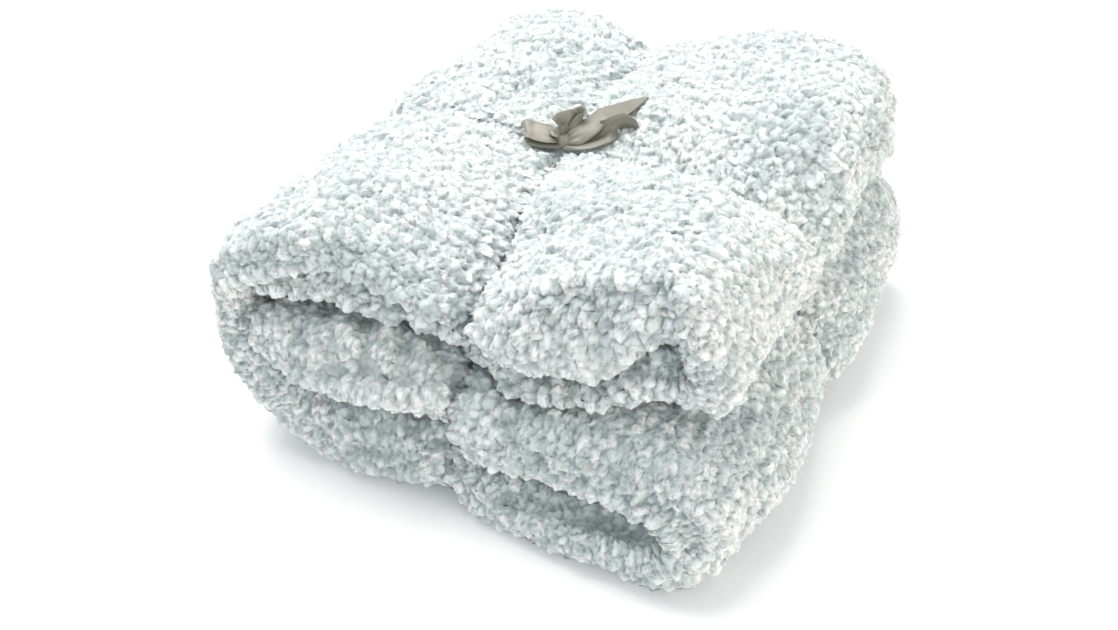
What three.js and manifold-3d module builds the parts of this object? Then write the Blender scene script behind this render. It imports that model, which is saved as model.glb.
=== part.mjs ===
// A plush throw, folded into a thick square bundle and tied crosswise with one satin ribbon.
//
// Millimetres, +Z up. The origin is on the resting face, under the middle of the bundle.
// X runs from the outer wrap on the left (-X) to the two bends on the right (+X).
// Y runs from the front (-Y), where the folded layers end, to the back (+Y).
//
// The throw is folded in thirds across its width, which makes a strip three plies thick. The strip's
// two ends are folded to its middle, and the whole is folded in half once more. That leaves four
// layers, A at the top to D at the bottom. The strip runs from B's free end, round the upper bend
// into A, round the outer wrap into D, and round the lower bend to C's free end.

import * as THREE from "three";
import { mergeVertices } from "three/addons/utils/BufferGeometryUtils.js";
import Module from "manifold-3d";

// ---- Driving dimensions of the fold ----

// "skew" is how much further back the front end lies at the right edge than in the middle.
const LAYERS = {
  A: { thickness: 38, front: -179, back: 178, skew: 15 },
  B: { thickness: 46, front: -172, back: 186, skew: 14 },
  C: { thickness: 56, front: -196, back: 193, skew: -1 },
  D: { thickness: 46, front: -198, back: 190, skew: -3 },
};
const LAYER_GAP = 2; // open space between two layers
const SLIT_SHARE = 0.022; // open slit between two plies, as a share of the layer's thickness
const UPPER_BEND_X = 184; // outermost reach of the bend from B to A
const LOWER_BEND_X = 202; // outermost reach of the bend from D to C
const OUTER_WRAP_X = -189; // outermost reach of the wrap from A to D

// ---- How the ribbon squeezes the bundle ----

const HALF_PLAN = 200; // half the side of the unsqueezed bundle, to which the shares below refer
const LOBE_HEIGHT = 200; // height of the top where no ribbon presses
const RIBBON_LINE = { x: -9, y: 1 }; // where the two turns of ribbon cross
const GROOVE_FLAT = 8; // half the flat floor of each groove
const GROOVE_REACH = 38; // how far each groove's slopes spread
const GROOVE_POWER = 1.4;
const KNOT_SHARE = 0.83; // height left under the knot, as a share of the lobes'
const EDGE_SHARE = { left: 0.78, right: 0.56, front: 0.65, back: 0.82 }; // the same at the bundle's edges
const EDGE_POWER = 2.5;
const SIDE_PULL = 21; // how far the ribbon draws each side in
const SIDE_REACH = 40;
const DOME_SHARE = 0.04; // how much the top falls away towards each edge
const DOME_POWER = 3;
const CORNER_ROUNDING = 0.055; // how far the corners draw in
const ROUNDING_POWER = 4;
const BACK_RIGHT_SPREAD = 0.045; // how much further the lowest layer reaches at the back right
// The front right corner draws in more, by these shares of X, from "start" on, as shares of half the side.
const FRONT_RIGHT_ROUNDING = { foot: 0.04, top: 0.115, start: 0.25, reach: 0.45 };
const SEAM_WIDTH = 40; // over which one lobe's height turns into the next one's
// "rise" lifts a lobe's middle and "drop" lowers its corner, as shares of the height.
const LOBES = [
  { right: false, back: false, rise: -0.015, drop: 0.025 },
  { right: true, back: false, rise: 0.09, drop: 0.025 },
  { right: false, back: true, rise: -0.065, drop: 0.11 },
  { right: true, back: true, rise: 0.03, drop: -0.05 },
];
// Where the tops of D, C and B lie, as shares of the bundle's height: at the back, at the front left and
// at the front right. Then how much they rise beside the ribbon, to its left and its right, and towards
// the upper bend, all at the front.
const LEVELS = {
  D: { back: 0.25, frontLeft: 0.3, frontRight: 0.235, leftPinch: 0.1, rightPinch: -0.05, atBend: 0 },
  C: { back: 0.6, frontLeft: 0.69, frontRight: 0.505, leftPinch: 0.03, rightPinch: 0.085, atBend: 0.01 },
  B: { back: 0.84, frontLeft: 0.8, frontRight: 0.575, leftPinch: 0.12, rightPinch: 0.08, atBend: 0.16 },
};
const FRONT_DEPTH = 150; // from the middle to where the front's levels hold in full
const PINCH_REACH = 35;
const BEND_START_X = 90;
const BEND_LENGTH = 45;
const WRAP_INNER_X = -185; // the levels hold from here on, inside the outer wrap
const WRAP_LENGTH = 60;
const UNDER_LIFT = 5; // how far the ribbon lifts the underside off the surface
const LIFT_REACH = 30; // how far that lift spreads beside the ribbon

// ---- The ribbon ----

const RIBBON_THICKNESS = 0.8;
const RIBBON_WIDTH = 16;
const GATHERED_WIDTH = 9; // the turns round the bundle are drawn into a narrow double band
const GATHERED_THICKNESS = 1.4;
const RIBBON_CLEARANCE = 0.5; // between the ribbon and the cloth
const SHORTEST_EDGE = 2; // of the turns' outline
const KNOT = { length: 8, width: 10, height: 10 };
const KNOT_PINCH = 0.55; // the ribbon's width where it enters the knot, as a share of the whole
const PINCH_RATE = 4; // the ribbon is at its whole width a quarter of the way along
// How much of the way the near edge, the middle and the far edge go, which cuts an end at a slant.
const LONG_TAIL_CUT = [0.7, 0.83, 1];
const SHORT_TAIL_CUT = [1, 0.87, 0.7];

// ---- Materials ----

const clothMaterial = new THREE.MeshStandardMaterial({ color: 0xdfe4e1, roughness: 0.95, metalness: 0 });
const ribbonMaterial = new THREE.MeshStandardMaterial({ color: 0x8d857b, roughness: 0.4, metalness: 0 });

// ---- Grid of the mesh ----

// Every layer shares these lines, so that the two faces beside a gap stay parallel.
const GRID_X = [-44, -GROOVE_FLAT, GROOVE_FLAT, 44, 98].map((x) => x + RIBBON_LINE.x);
const GRID_Y = [-98, -44, -GROOVE_FLAT, GROOVE_FLAT, 44, 98].map((y) => y + RIBBON_LINE.y);
const BEND_STEPS = 7;
const WRAP_STEPS = 11;
// The free ends' stations, as angles round the wrap's centre in degrees: where each stands, and where
// the wrap is as high as it is. The last two are alike, so the end itself is square.
const END_STATIONS = [
  { place: 15, size: 15 },
  { place: 40, size: 58 },
  { place: 58, size: 58 },
];
const PLY_TURN_STEPS = { outer: 7, inner: 4 };
const KNOT_STEPS = [10, 7];
const LOOP_STEPS = 16;
const TAIL_STEPS = 11;
const FRAME_STEP = 0.03; // share of the way over which a ribbon's direction is taken
const ON_LINE = 0.01; // points this near a grid line count as on it
const MERGE_WITHIN = 1e-4;
const MOST_SHARE = 1.1; // shares of the plan's half side are kept under this

const smoothstep = (t) => THREE.MathUtils.smoothstep(t, 0, 1);
const { lerp, clamp, degToRad } = THREE.MathUtils;

// ---- Path of the strip in the X-Z plane ----

const layerHeights = () => {
  const heights = {};
  let z = 0;
  for (const name of ["D", "C", "B", "A"]) {
    heights[name] = z + LAYERS[name].thickness / 2;
    z += LAYERS[name].thickness + LAYER_GAP;
  }
  return heights;
};
const HEIGHTS = layerHeights();
const STACK_HEIGHT = HEIGHTS.A + LAYERS.A.thickness / 2;
const WRAP_RADIUS = (HEIGHTS.A - HEIGHTS.D) / 2;
const WRAP_CENTRE_Z = (HEIGHTS.A + HEIGHTS.D) / 2;
const OUTER_HALF = (LAYERS.A.thickness + LAYERS.D.thickness) / 4;
const WRAP_CENTRE_X = OUTER_WRAP_X + WRAP_RADIUS + OUTER_HALF;
const UPPER_CENTRE_X = UPPER_BEND_X - (LAYERS.A.thickness + LAYERS.B.thickness) / 2;
const LOWER_CENTRE_X = LOWER_BEND_X - (LAYERS.C.thickness + LAYERS.D.thickness) / 2;

const frontAt = (name, x) => LAYERS[name].front + (LAYERS[name].skew * x) / HALF_PLAN;

// A station has its place, the outward direction (nx, nz), half the strip's thickness, and its ends.
function straightRun(name, fromX, toX) {
  const { thickness, back } = LAYERS[name];
  const outward = name === "A" || name === "C" ? 1 : -1;
  const low = Math.min(fromX, toX);
  const high = Math.max(fromX, toX);
  const xs = [low, ...GRID_X.filter((x) => x > low && x < high), high];
  if (fromX > toX) xs.reverse();
  return xs.map((x) => ({
    x,
    z: HEIGHTS[name],
    nx: 0,
    nz: outward,
    half: thickness / 2,
    front: frontAt(name, x),
    back,
  }));
}

function turn(fromName, toName, centreX, side, steps) {
  const from = LAYERS[fromName];
  const to = LAYERS[toName];
  const centreZ = (HEIGHTS[fromName] + HEIGHTS[toName]) / 2;
  const radius = (HEIGHTS[toName] - HEIGHTS[fromName]) / 2;
  const made = [];
  for (let i = 1; i < steps; i++) {
    const angle = (Math.PI * i) / steps;
    const share = smoothstep(i / steps);
    const nx = side * Math.sin(angle);
    const nz = -Math.sign(radius) * Math.cos(angle);
    const x = centreX + nx * Math.abs(radius);
    made.push({
      x,
      z: centreZ + nz * Math.abs(radius),
      nx,
      nz,
      half: lerp(from.thickness, to.thickness, share) / 2,
      front: lerp(frontAt(fromName, x), frontAt(toName, x), share),
      back: lerp(from.back, to.back, share),
    });
  }
  return made;
}

// B and C end inside the outer wrap, squashed to fill it. Their stations are listed from the wrap's
// centre outwards.
function freeEnd(name) {
  const { thickness, back } = LAYERS[name];
  const side = HEIGHTS[name] > WRAP_CENTRE_Z ? 1 : -1;
  const centre = Math.abs(HEIGHTS[name] - WRAP_CENTRE_Z);
  const inner = WRAP_RADIUS - OUTER_HALF - LAYER_GAP;
  return END_STATIONS.map(({ place, size }) => {
    const high = Math.min(inner * Math.cos(degToRad(size)), centre + thickness / 2);
    const low = Math.max(centre - thickness / 2, LAYER_GAP / 2);
    const x = WRAP_CENTRE_X - inner * Math.sin(degToRad(place));
    return {
      x,
      z: WRAP_CENTRE_Z + (side * (high + low)) / 2,
      nx: 0,
      nz: name === "C" ? 1 : -1,
      half: (high - low) / 2,
      front: frontAt(name, x),
      back,
    };
  });
}

function stripStations() {
  return [
    ...freeEnd("B").reverse(),
    ...straightRun("B", WRAP_CENTRE_X, UPPER_CENTRE_X),
    ...turn("B", "A", UPPER_CENTRE_X, 1, BEND_STEPS),
    ...straightRun("A", UPPER_CENTRE_X, WRAP_CENTRE_X),
    ...turn("A", "D", WRAP_CENTRE_X, -1, WRAP_STEPS),
    ...straightRun("D", WRAP_CENTRE_X, LOWER_CENTRE_X),
    ...turn("D", "C", LOWER_CENTRE_X, 1, BEND_STEPS),
    ...straightRun("C", LOWER_CENTRE_X, WRAP_CENTRE_X),
    ...freeEnd("C"),
  ];
}

// ---- Section of the strip: three plies, folded in thirds ----

// Points of a half turn about (y, v), without its two ends. The angles are in degrees.
function halfTurn(y, v, radius, from, to, steps) {
  const points = [];
  for (let i = 1; i < steps; i++) {
    const angle = degToRad(lerp(from, to, i / steps));
    points.push([y + radius * Math.cos(angle), v + radius * Math.sin(angle)]);
  }
  return points;
}

// The outline in (y, v), where v points outwards from the fold. The outermost ply turns round the
// whole strip at the front and into the middle ply at the back.
function sectionOutline({ half, front, back }) {
  const slit = SLIT_SHARE * 2 * half;
  const ply = (2 * half - 2 * slit) / 3;
  const frontY = front + half;
  const backRadius = ply + slit / 2;
  const backY = back - backRadius;
  const middle = (ply + slit) / 2;
  const grid = [frontY, ...GRID_Y.filter((y) => y > frontY && y < backY), backY];
  const forward = (v) => grid.map((y) => [y, v]).reverse();
  const backward = (v) => grid.map((y) => [y, v]);
  const { outer, inner } = PLY_TURN_STEPS;
  return [
    ...forward(half),
    ...halfTurn(frontY, 0, half, 90, 270, outer),
    ...backward(-half),
    ...halfTurn(backY, -ply - slit, ply / 2, -90, 90, inner),
    ...forward(-ply / 2 - slit),
    ...halfTurn(frontY, 0, ply / 2 + slit, 270, 90, inner),
    ...backward(ply / 2 + slit),
    ...halfTurn(backY, middle, slit / 2, 90, -90, 2),
    ...forward(ply / 2),
    ...halfTurn(frontY, 0, ply / 2, 90, 270, inner),
    ...backward(-ply / 2),
    ...halfTurn(backY, middle, backRadius, -90, 90, outer),
  ];
}

// ---- The squeeze that turns the flat stack into four lobes ----

const groove = (distance, reach) => {
  const beyond = Math.max(Math.abs(distance) - GROOVE_FLAT, 0);
  return Math.exp(-((beyond / reach) ** GROOVE_POWER));
};

const beyondSeam = (distance) => smoothstep(0.5 + distance / (2 * SEAM_WIDTH));

function heightShare(x, y) {
  const ex = clamp(Math.abs(x) / HALF_PLAN, 0, MOST_SHARE);
  const ey = clamp(Math.abs(y) / HALF_PLAN, 0, MOST_SHARE);
  const right = beyondSeam(x);
  const back = beyondSeam(y);
  const pillow = Math.sin(Math.PI * Math.min(ex, 1)) * Math.sin(Math.PI * Math.min(ey, 1));
  let top = 1 - DOME_SHARE * (ex ** DOME_POWER + ey ** DOME_POWER);
  for (const lobe of LOBES) {
    const weight = (lobe.right ? right : 1 - right) * (lobe.back ? back : 1 - back);
    top += weight * (lobe.rise * pillow - lobe.drop * ex * ex * ey * ey);
  }
  const gx = groove(x - RIBBON_LINE.x, GROOVE_REACH);
  const gy = groove(y - RIBBON_LINE.y, GROOVE_REACH);
  const alongY = lerp(KNOT_SHARE, y > 0 ? EDGE_SHARE.back : EDGE_SHARE.front, ey ** EDGE_POWER);
  const alongX = lerp(KNOT_SHARE, x > 0 ? EDGE_SHARE.right : EDGE_SHARE.left, ex ** EDGE_POWER);
  const between = top * (1 - gx) * (1 - gy);
  return between + alongY * gx * (1 - gy) + alongX * gy * (1 - gx) + KNOT_SHARE * gx * gy;
}

function underLift(x, y) {
  const beside = (distance) => 1 - smoothstep((Math.abs(distance) - GROOVE_FLAT) / LIFT_REACH);
  return UNDER_LIFT * Math.max(beside(x - RIBBON_LINE.x), beside(y - RIBBON_LINE.y));
}

// Moves a point up or down within the stack, so that each layer's top lies at its level.
function sinkLayers(x, y, share) {
  const front = smoothstep(-y / FRONT_DEPTH);
  const right = beyondSeam(x);
  const bend = front * smoothstep((x - BEND_START_X) / BEND_LENGTH);
  const pinch = front * Math.exp(-(((x - RIBBON_LINE.x) / PINCH_REACH) ** 2));
  const inside = smoothstep((x - WRAP_INNER_X) / WRAP_LENGTH);
  let ownBelow = 0;
  let below = 0;
  for (const [name, at] of Object.entries(LEVELS)) {
    const own = (HEIGHTS[name] + LAYERS[name].thickness / 2 + LAYER_GAP) / STACK_HEIGHT;
    const settled = lerp(at.back, lerp(at.frontLeft, at.frontRight, right), front);
    const pinched = settled + lerp(at.leftPinch, at.rightPinch, right) * pinch + at.atBend * bend;
    const level = lerp(own, pinched, inside);
    if (share < own) return below + ((share - ownBelow) / (own - ownBelow)) * (level - below);
    ownBelow = own;
    below = level;
  }
  return below + ((share - ownBelow) / (1 - ownBelow)) * (1 - below);
}

function squeeze(x, y, z) {
  const ex = clamp(Math.abs(x) / HALF_PLAN, 0, MOST_SHARE);
  const ey = clamp(Math.abs(y) / HALF_PLAN, 0, MOST_SHARE);
  const pullX = (SIDE_PULL / HALF_PLAN) * groove(y - RIBBON_LINE.y, SIDE_REACH);
  const pullY = (SIDE_PULL / HALF_PLAN) * groove(x - RIBBON_LINE.x, SIDE_REACH);
  const share = sinkLayers(x, y, z / STACK_HEIGHT);
  const { foot, top, start, reach } = FRONT_RIGHT_ROUNDING;
  const rounding = lerp(foot, top, share) * smoothstep((-y / HALF_PLAN - start) / reach) * beyondSeam(x);
  const spread = 1 + BACK_RIGHT_SPREAD * (1 - share) * beyondSeam(x) * beyondSeam(y);
  return [
    x * (1 - pullX) * (1 - CORNER_ROUNDING * ey ** ROUNDING_POWER - rounding) * spread,
    y * (1 - pullY) * (1 - CORNER_ROUNDING * ex ** ROUNDING_POWER),
    share * LOBE_HEIGHT * heightShare(x, y) + (1 - share) * underLift(x, y),
  ];
}

// ---- Meshes ----

function meshFromArrays(points, triangles) {
  const geometry = new THREE.BufferGeometry();
  geometry.setAttribute("position", new THREE.Float32BufferAttribute(points.flat(), 3));
  geometry.setIndex(triangles.flat());
  return geometry;
}

// A closed solid between rings of the same number of points. "ends" lists the triangles of its first
// and last face; without them the last ring joins the first. "rising" picks each cell's diagonal.
function loft(rings, ends, rising = () => true) {
  const count = rings[0].length;
  const triangles = [];
  const last = ends ? rings.length - 1 : rings.length;
  for (let i = 0; i < last; i++) {
    const here = i * count;
    const next = ((i + 1) % rings.length) * count;
    for (let j = 0; j < count; j++) {
      const k = (j + 1) % count;
      if (rising(i, j, k)) triangles.push([here + j, next + j, next + k], [here + j, next + k, here + k]);
      else triangles.push([here + j, next + j, here + k], [next + j, next + k, here + k]);
    }
  }
  if (ends) {
    const end = last * count;
    for (const [a, b, c] of ends[0]) triangles.push([a, b, c]);
    for (const [a, b, c] of ends[1]) triangles.push([end + c, end + b, end + a]);
  }
  return meshFromArrays(rings.flat(), triangles);
}

function throwGeometry() {
  const stations = stripStations();
  const outlines = stations.map(sectionOutline);
  const unsqueezed = stations.map((station, i) =>
    outlines[i].map(([y, v]) => [station.x + station.nx * v, y, station.z + station.nz * v]),
  );
  // Every cell's diagonal runs the same way across the plan, so that facing surfaces stay parallel.
  const rising = (i, j, k) => {
    const [x, y] = unsqueezed[i][j];
    return (unsqueezed[i + 1][j][0] - x) * (unsqueezed[i][k][1] - y) > 0;
  };
  const rings = unsqueezed.map((ring) => ring.map(([x, y, z]) => squeeze(x, y, z)));
  const endFace = (ring, { nz }) =>
    THREE.ShapeUtils.triangulateShape(ring.map(([, y, z]) => new THREE.Vector2(y, z * nz)), []);
  return loft(rings, [endFace(rings[0], stations[0]), endFace(rings.at(-1), stations.at(-1))], rising);
}

// ---- The ribbon's turns round the bundle ----

// Corners of the convex outline round a set of (u, z) points, anticlockwise.
function convexOutline(points) {
  const sorted = [...points].sort((a, b) => a[0] - b[0] || a[1] - b[1]);
  const chain = (ordered) => {
    const kept = [];
    for (const p of ordered) {
      while (kept.length > 1 && !leftTurn(kept.at(-2), kept.at(-1), p)) kept.pop();
      kept.push(p);
    }
    return kept.slice(0, -1);
  };
  return [...chain(sorted), ...chain(sorted.reverse())];
}

const leftTurn = (a, b, c) => (b[0] - a[0]) * (c[1] - a[1]) - (b[1] - a[1]) * (c[0] - a[0]) > 0;

const edgeNormal = (a, b) => {
  const length = Math.hypot(b[0] - a[0], b[1] - a[1]);
  return [(b[1] - a[1]) / length, (a[0] - b[0]) / length];
};

function withoutShortEdges(outline) {
  const kept = [outline[0]];
  for (const p of outline.slice(1)) {
    const [u, z] = kept.at(-1);
    if (Math.hypot(p[0] - u, p[1] - z) > SHORTEST_EDGE) kept.push(p);
  }
  return kept;
}

// The outline moved outwards by a distance.
function grown(outline, distance) {
  return outline.map((p, i) => {
    const n = edgeNormal(outline.at(i - 1), p);
    const m = edgeNormal(p, outline[(i + 1) % outline.length]);
    const scale = distance / (1 + n[0] * m[0] + n[1] * m[1]);
    return [p[0] + (n[0] + m[0]) * scale, p[1] + (n[1] + m[1]) * scale];
  });
}

// A gathered turn of ribbon, pulled tight over the cloth's points. place(u, side, z) puts a point of
// its plane into space.
function gatheredTurn(points, place) {
  const tight = withoutShortEdges(convexOutline(points));
  const inside = grown(tight, RIBBON_CLEARANCE);
  const outside = grown(tight, RIBBON_CLEARANCE + GATHERED_THICKNESS);
  const side = GATHERED_WIDTH / 2;
  const rings = inside.map(([u, z], i) => {
    const [outerU, outerZ] = outside[i];
    return [place(u, side, z), place(u, -side, z), place(outerU, -side, outerZ), place(outerU, side, outerZ)];
  });
  return loft(rings);
}

function clothPointsNear(axis) {
  const found = [];
  for (const station of stripStations()) {
    for (const [y, v] of sectionOutline(station)) {
      const x = station.x + station.nx * v;
      const offset = axis === "x" ? y - RIBBON_LINE.y : x - RIBBON_LINE.x;
      if (Math.abs(offset) > GROOVE_FLAT + ON_LINE) continue;
      const [px, py, pz] = squeeze(x, y, station.z + station.nz * v);
      found.push([axis === "x" ? px : py, pz]);
    }
  }
  return found;
}

const lengthwiseTurn = () =>
  gatheredTurn(clothPointsNear("x"), (u, side, z) => [u, RIBBON_LINE.y - side, z]);
const crosswiseTurn = () =>
  gatheredTurn(clothPointsNear("y"), (u, side, z) => [RIBBON_LINE.x + side, u, z]);

// ---- The knot and the bow ----

const crossing = squeeze(RIBBON_LINE.x, RIBBON_LINE.y, STACK_HEIGHT);
const KNOT_LIFT = RIBBON_CLEARANCE + GATHERED_THICKNESS / 2 + KNOT.height / 2;
const KNOT_CENTRE = [RIBBON_LINE.x, RIBBON_LINE.y, crossing[2] + KNOT_LIFT];

// Each table leads the ribbon's middle line away from the knot's centre. "turn" is the direction of
// the ribbon's width seen from above, "tilt" its rise, both in degrees.
const LEFT_LOOP = [
  { x: -1, y: 0, z: 1, turn: 100, tilt: 20 },
  { x: -6, y: -1, z: 2, turn: 110, tilt: 18 },
  { x: -13, y: -2, z: 3.5, turn: 120, tilt: 17 },
  { x: -20, y: -3, z: 4.5, turn: 128, tilt: 17 },
  { x: -25, y: -4, z: 5.5, turn: 130, tilt: 17 },
  { x: -27, y: -5, z: 3.5, turn: 130, tilt: 17 },
  { x: -24, y: -4, z: 0.5, turn: 130, tilt: 17 },
  { x: -12, y: -2, z: -2, turn: 115, tilt: 12 },
  { x: -1, y: 0, z: -2, turn: 95, tilt: 10 },
];
const BACK_LOOP = [
  { x: -0.5, y: 0, z: 1, turn: 100, tilt: 35 },
  { x: -2.5, y: 0.5, z: 5, turn: 110, tilt: 55 },
  { x: -5.4, y: 1.8, z: 9.5, turn: 116, tilt: 78 },
  { x: 0, y: 8.9, z: 10.7, turn: 120, tilt: 84 },
  { x: 1.1, y: 12.8, z: 7.5, turn: 118, tilt: 84 },
  { x: 3.4, y: 17.3, z: 7.5, turn: 116, tilt: 82 },
  { x: 4.8, y: 18.5, z: 9.6, turn: 110, tilt: 80 },
  { x: 6.8, y: 16.7, z: 8.6, turn: 100, tilt: 78 },
  { x: 5, y: 10.3, z: 4, turn: 90, tilt: 60 },
  { x: 2.9, y: 5.3, z: 1, turn: 90, tilt: 40 },
  { x: 0, y: 0.5, z: 0, turn: 90, tilt: 30 },
];
const LONG_TAIL = [
  { x: 0, y: 0, z: 0, turn: 124, tilt: 30 },
  { x: 7, y: 6, z: 3, turn: 128, tilt: 28 },
  { x: 14, y: 13, z: 7.5, turn: 130, tilt: 20 },
  { x: 19, y: 23, z: 13, turn: 132, tilt: 3 },
  { x: 26, y: 31, z: 13.5, turn: 132, tilt: 0 },
  { x: 35, y: 40, z: 13.5, turn: 130, tilt: 5 },
  { x: 44, y: 47, z: 14, turn: 130, tilt: 8 },
];
const SHORT_TAIL = [
  { x: 0, y: -1, z: -2, turn: 115, tilt: 8 },
  { x: 8, y: 2, z: -1.5, turn: 117, tilt: 4 },
  { x: 18, y: 7, z: 1, turn: 118, tilt: 8 },
  { x: 24, y: 13, z: 4.5, turn: 118, tilt: 35 },
  { x: 28, y: 18, z: 9.5, turn: 118, tilt: 100 },
  { x: 34, y: 23, z: 12, turn: 118, tilt: 115 },
  { x: 41, y: 25, z: 11, turn: 118, tilt: 105 },
  { x: 50, y: 23.5, z: 10, turn: 118, tilt: 80 },
];

const curvesThrough = (table) =>
  Object.fromEntries(
    ["x", "y", "z", "turn", "tilt"].map((column) => [
      column,
      new THREE.CatmullRomCurve3(table.map((row) => new THREE.Vector3(row[column], 0, 0))),
    ]),
  );

// The ribbon's middle and its three directions at a share of the way along a table.
function ribbonFrame(curves, share) {
  const at = (column, t) => curves[column].getPoint(t).x;
  const middle = (t) => new THREE.Vector3(at("x", t), at("y", t), at("z", t));
  const turnAngle = degToRad(at("turn", share));
  const tiltAngle = degToRad(at("tilt", share));
  const along = middle(Math.min(share + FRAME_STEP, 1)).sub(middle(Math.max(share - FRAME_STEP, 0)));
  along.normalize();
  const across = new THREE.Vector3(
    Math.cos(turnAngle) * Math.cos(tiltAngle),
    Math.sin(turnAngle) * Math.cos(tiltAngle),
    Math.sin(tiltAngle),
  );
  across.addScaledVector(along, -across.dot(along)).normalize();
  return { centre: middle(share), across, up: new THREE.Vector3().crossVectors(along, across) };
}

// Triangles between the six corners of a ribbon's end.
const RIBBON_END = [
  [0, 1, 4],
  [0, 4, 5],
  [1, 2, 3],
  [1, 3, 4],
];

// A stretch of ribbon. A tail ends in a cut, and a loop is pinched by the knot at both ends.
function ribbonStretch(table, steps, cut) {
  const curves = curvesThrough(table);
  const rings = [];
  for (let i = 0; i <= steps; i++) {
    const fromKnot = Math.min(i, cut ? i : steps - i) / steps;
    const width = RIBBON_WIDTH * lerp(KNOT_PINCH, 1, smoothstep(fromKnot * PINCH_RATE));
    const corner = (side, face) => {
      const { centre, across, up } = ribbonFrame(curves, (i / steps) * (cut ? cut[side + 1] : 1));
      return centre
        .add(new THREE.Vector3(...KNOT_CENTRE))
        .addScaledVector(across, (width / 2) * side)
        .addScaledVector(up, (RIBBON_THICKNESS / 2) * face)
        .toArray();
    };
    rings.push([corner(-1, 1), corner(0, 1), corner(1, 1), corner(1, -1), corner(0, -1), corner(-1, -1)]);
  }
  return loft(rings, [RIBBON_END, RIBBON_END]);
}

function knotGeometry() {
  const ball = new THREE.SphereGeometry(0.5, ...KNOT_STEPS);
  ball.scale(KNOT.length, KNOT.width, KNOT.height);
  ball.translate(...KNOT_CENTRE);
  return ball;
}

const wasm = await Module();
wasm.setup();

function toSolid(geometry) {
  geometry.deleteAttribute("normal");
  geometry.deleteAttribute("uv");
  const merged = mergeVertices(geometry, MERGE_WITHIN);
  return new wasm.Manifold(
    new wasm.Mesh({
      numProp: 3,
      vertProperties: merged.attributes.position.array,
      triVerts: new Uint32Array(merged.index.array),
    }),
  );
}

function toGeometry(solid) {
  const { vertProperties, triVerts } = solid.getMesh();
  const geometry = new THREE.BufferGeometry();
  geometry.setAttribute("position", new THREE.BufferAttribute(vertProperties, 3));
  geometry.setIndex(new THREE.BufferAttribute(triVerts, 1));
  return geometry;
}

function ribbonGeometry() {
  const pieces = [
    lengthwiseTurn(),
    crosswiseTurn(),
    knotGeometry(),
    ribbonStretch(LEFT_LOOP, LOOP_STEPS),
    ribbonStretch(BACK_LOOP, LOOP_STEPS),
    ribbonStretch(LONG_TAIL, TAIL_STEPS, LONG_TAIL_CUT),
    ribbonStretch(SHORT_TAIL, TAIL_STEPS, SHORT_TAIL_CUT),
  ];
  return toGeometry(pieces.map(toSolid).reduce((joined, piece) => joined.add(piece)));
}

// ---- The part ----

function named(name, geometry, material) {
  const mesh = new THREE.Mesh(geometry, material);
  mesh.name = name;
  return mesh;
}

const bundle = throwGeometry();
bundle.computeBoundingBox();
const middle = bundle.boundingBox.getCenter(new THREE.Vector3());

const group = new THREE.Group();
group.add(named("throw", bundle, clothMaterial));
group.add(named("ribbon", ribbonGeometry(), ribbonMaterial));
group.position.set(-middle.x, -middle.y, 0);

export default group;
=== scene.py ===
"""A plush fleece throw, folded into a thick square bundle and tied crosswise with a satin ribbon.

Metres, +Z up, in the frame's own axes. The fold is worked out as in the part's source: a strip of
three plies makes four layers, A at the top to D at the bottom, and the ribbon squeezes them into four
lobes. The skin is that fold, set in by the depth of the pile, and the pile's tufts stand on it.
"""
import itertools
import math

import bpy
import numpy as np
from mathutils import Matrix, Vector
from mathutils.bvhtree import BVHTree
from mathutils.kdtree import KDTree


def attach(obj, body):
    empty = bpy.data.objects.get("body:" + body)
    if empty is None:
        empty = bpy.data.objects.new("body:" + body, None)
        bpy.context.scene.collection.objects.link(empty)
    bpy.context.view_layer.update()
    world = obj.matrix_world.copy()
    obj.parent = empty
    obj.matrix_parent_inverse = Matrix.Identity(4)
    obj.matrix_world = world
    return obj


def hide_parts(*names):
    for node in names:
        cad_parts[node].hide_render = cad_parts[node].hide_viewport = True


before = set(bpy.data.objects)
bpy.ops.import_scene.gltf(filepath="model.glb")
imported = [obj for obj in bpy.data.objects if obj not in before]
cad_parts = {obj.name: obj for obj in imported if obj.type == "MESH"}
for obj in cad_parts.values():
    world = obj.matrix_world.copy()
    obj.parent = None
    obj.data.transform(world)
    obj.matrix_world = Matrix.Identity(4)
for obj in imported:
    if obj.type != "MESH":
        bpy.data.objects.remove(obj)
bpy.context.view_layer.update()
RNG = np.random.default_rng(20)

# ---- The fold, as in the part's source ----

# thickness, front end, back end, and how much further back the front lies at the right edge
LAYERS = {
    "A": dict(thickness=0.038, front=-0.179, back=0.178, skew=0.015),
    "B": dict(thickness=0.046, front=-0.172, back=0.186, skew=0.014),
    "C": dict(thickness=0.056, front=-0.196, back=0.193, skew=-0.001),
    "D": dict(thickness=0.046, front=-0.198, back=0.190, skew=-0.003),
}
LAYER_GAP = 0.002
SLIT_SHARE = 0.022
LEAST_HALF = 0.55  # the least share of a ply stack's half thickness that the inset leaves
UPPER_BEND_X = 0.184
LOWER_BEND_X = 0.202
OUTER_WRAP_X = -0.189
END_ANGLES = np.radians(np.linspace(7, 56, 7))  # round the outer wrap, where the free ends taper
HALF_PLAN = 0.2
LOBE_HEIGHT = 0.2
RIBBON_X, RIBBON_Y = -0.009, 0.001
GROOVE_FLAT = 0.0025  # the cloth closes over the ribbon in a sharper groove than the solid's
GROOVE_REACH = 0.035
GROOVE_POWER = 1.0
KNOT_SHARE = 0.83
EDGE_LEFT, EDGE_RIGHT, EDGE_FRONT, EDGE_BACK = 0.78, 0.56, 0.65, 0.82
EDGE_POWER = 2.5
SIDE_PULL = 0.021
SIDE_REACH = 0.026
SIDE_POWER = 0.9
DOME_SHARE = 0.04
DOME_POWER = 3
CORNER_ROUNDING = 0.055
ROUNDING_POWER = 4
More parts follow.
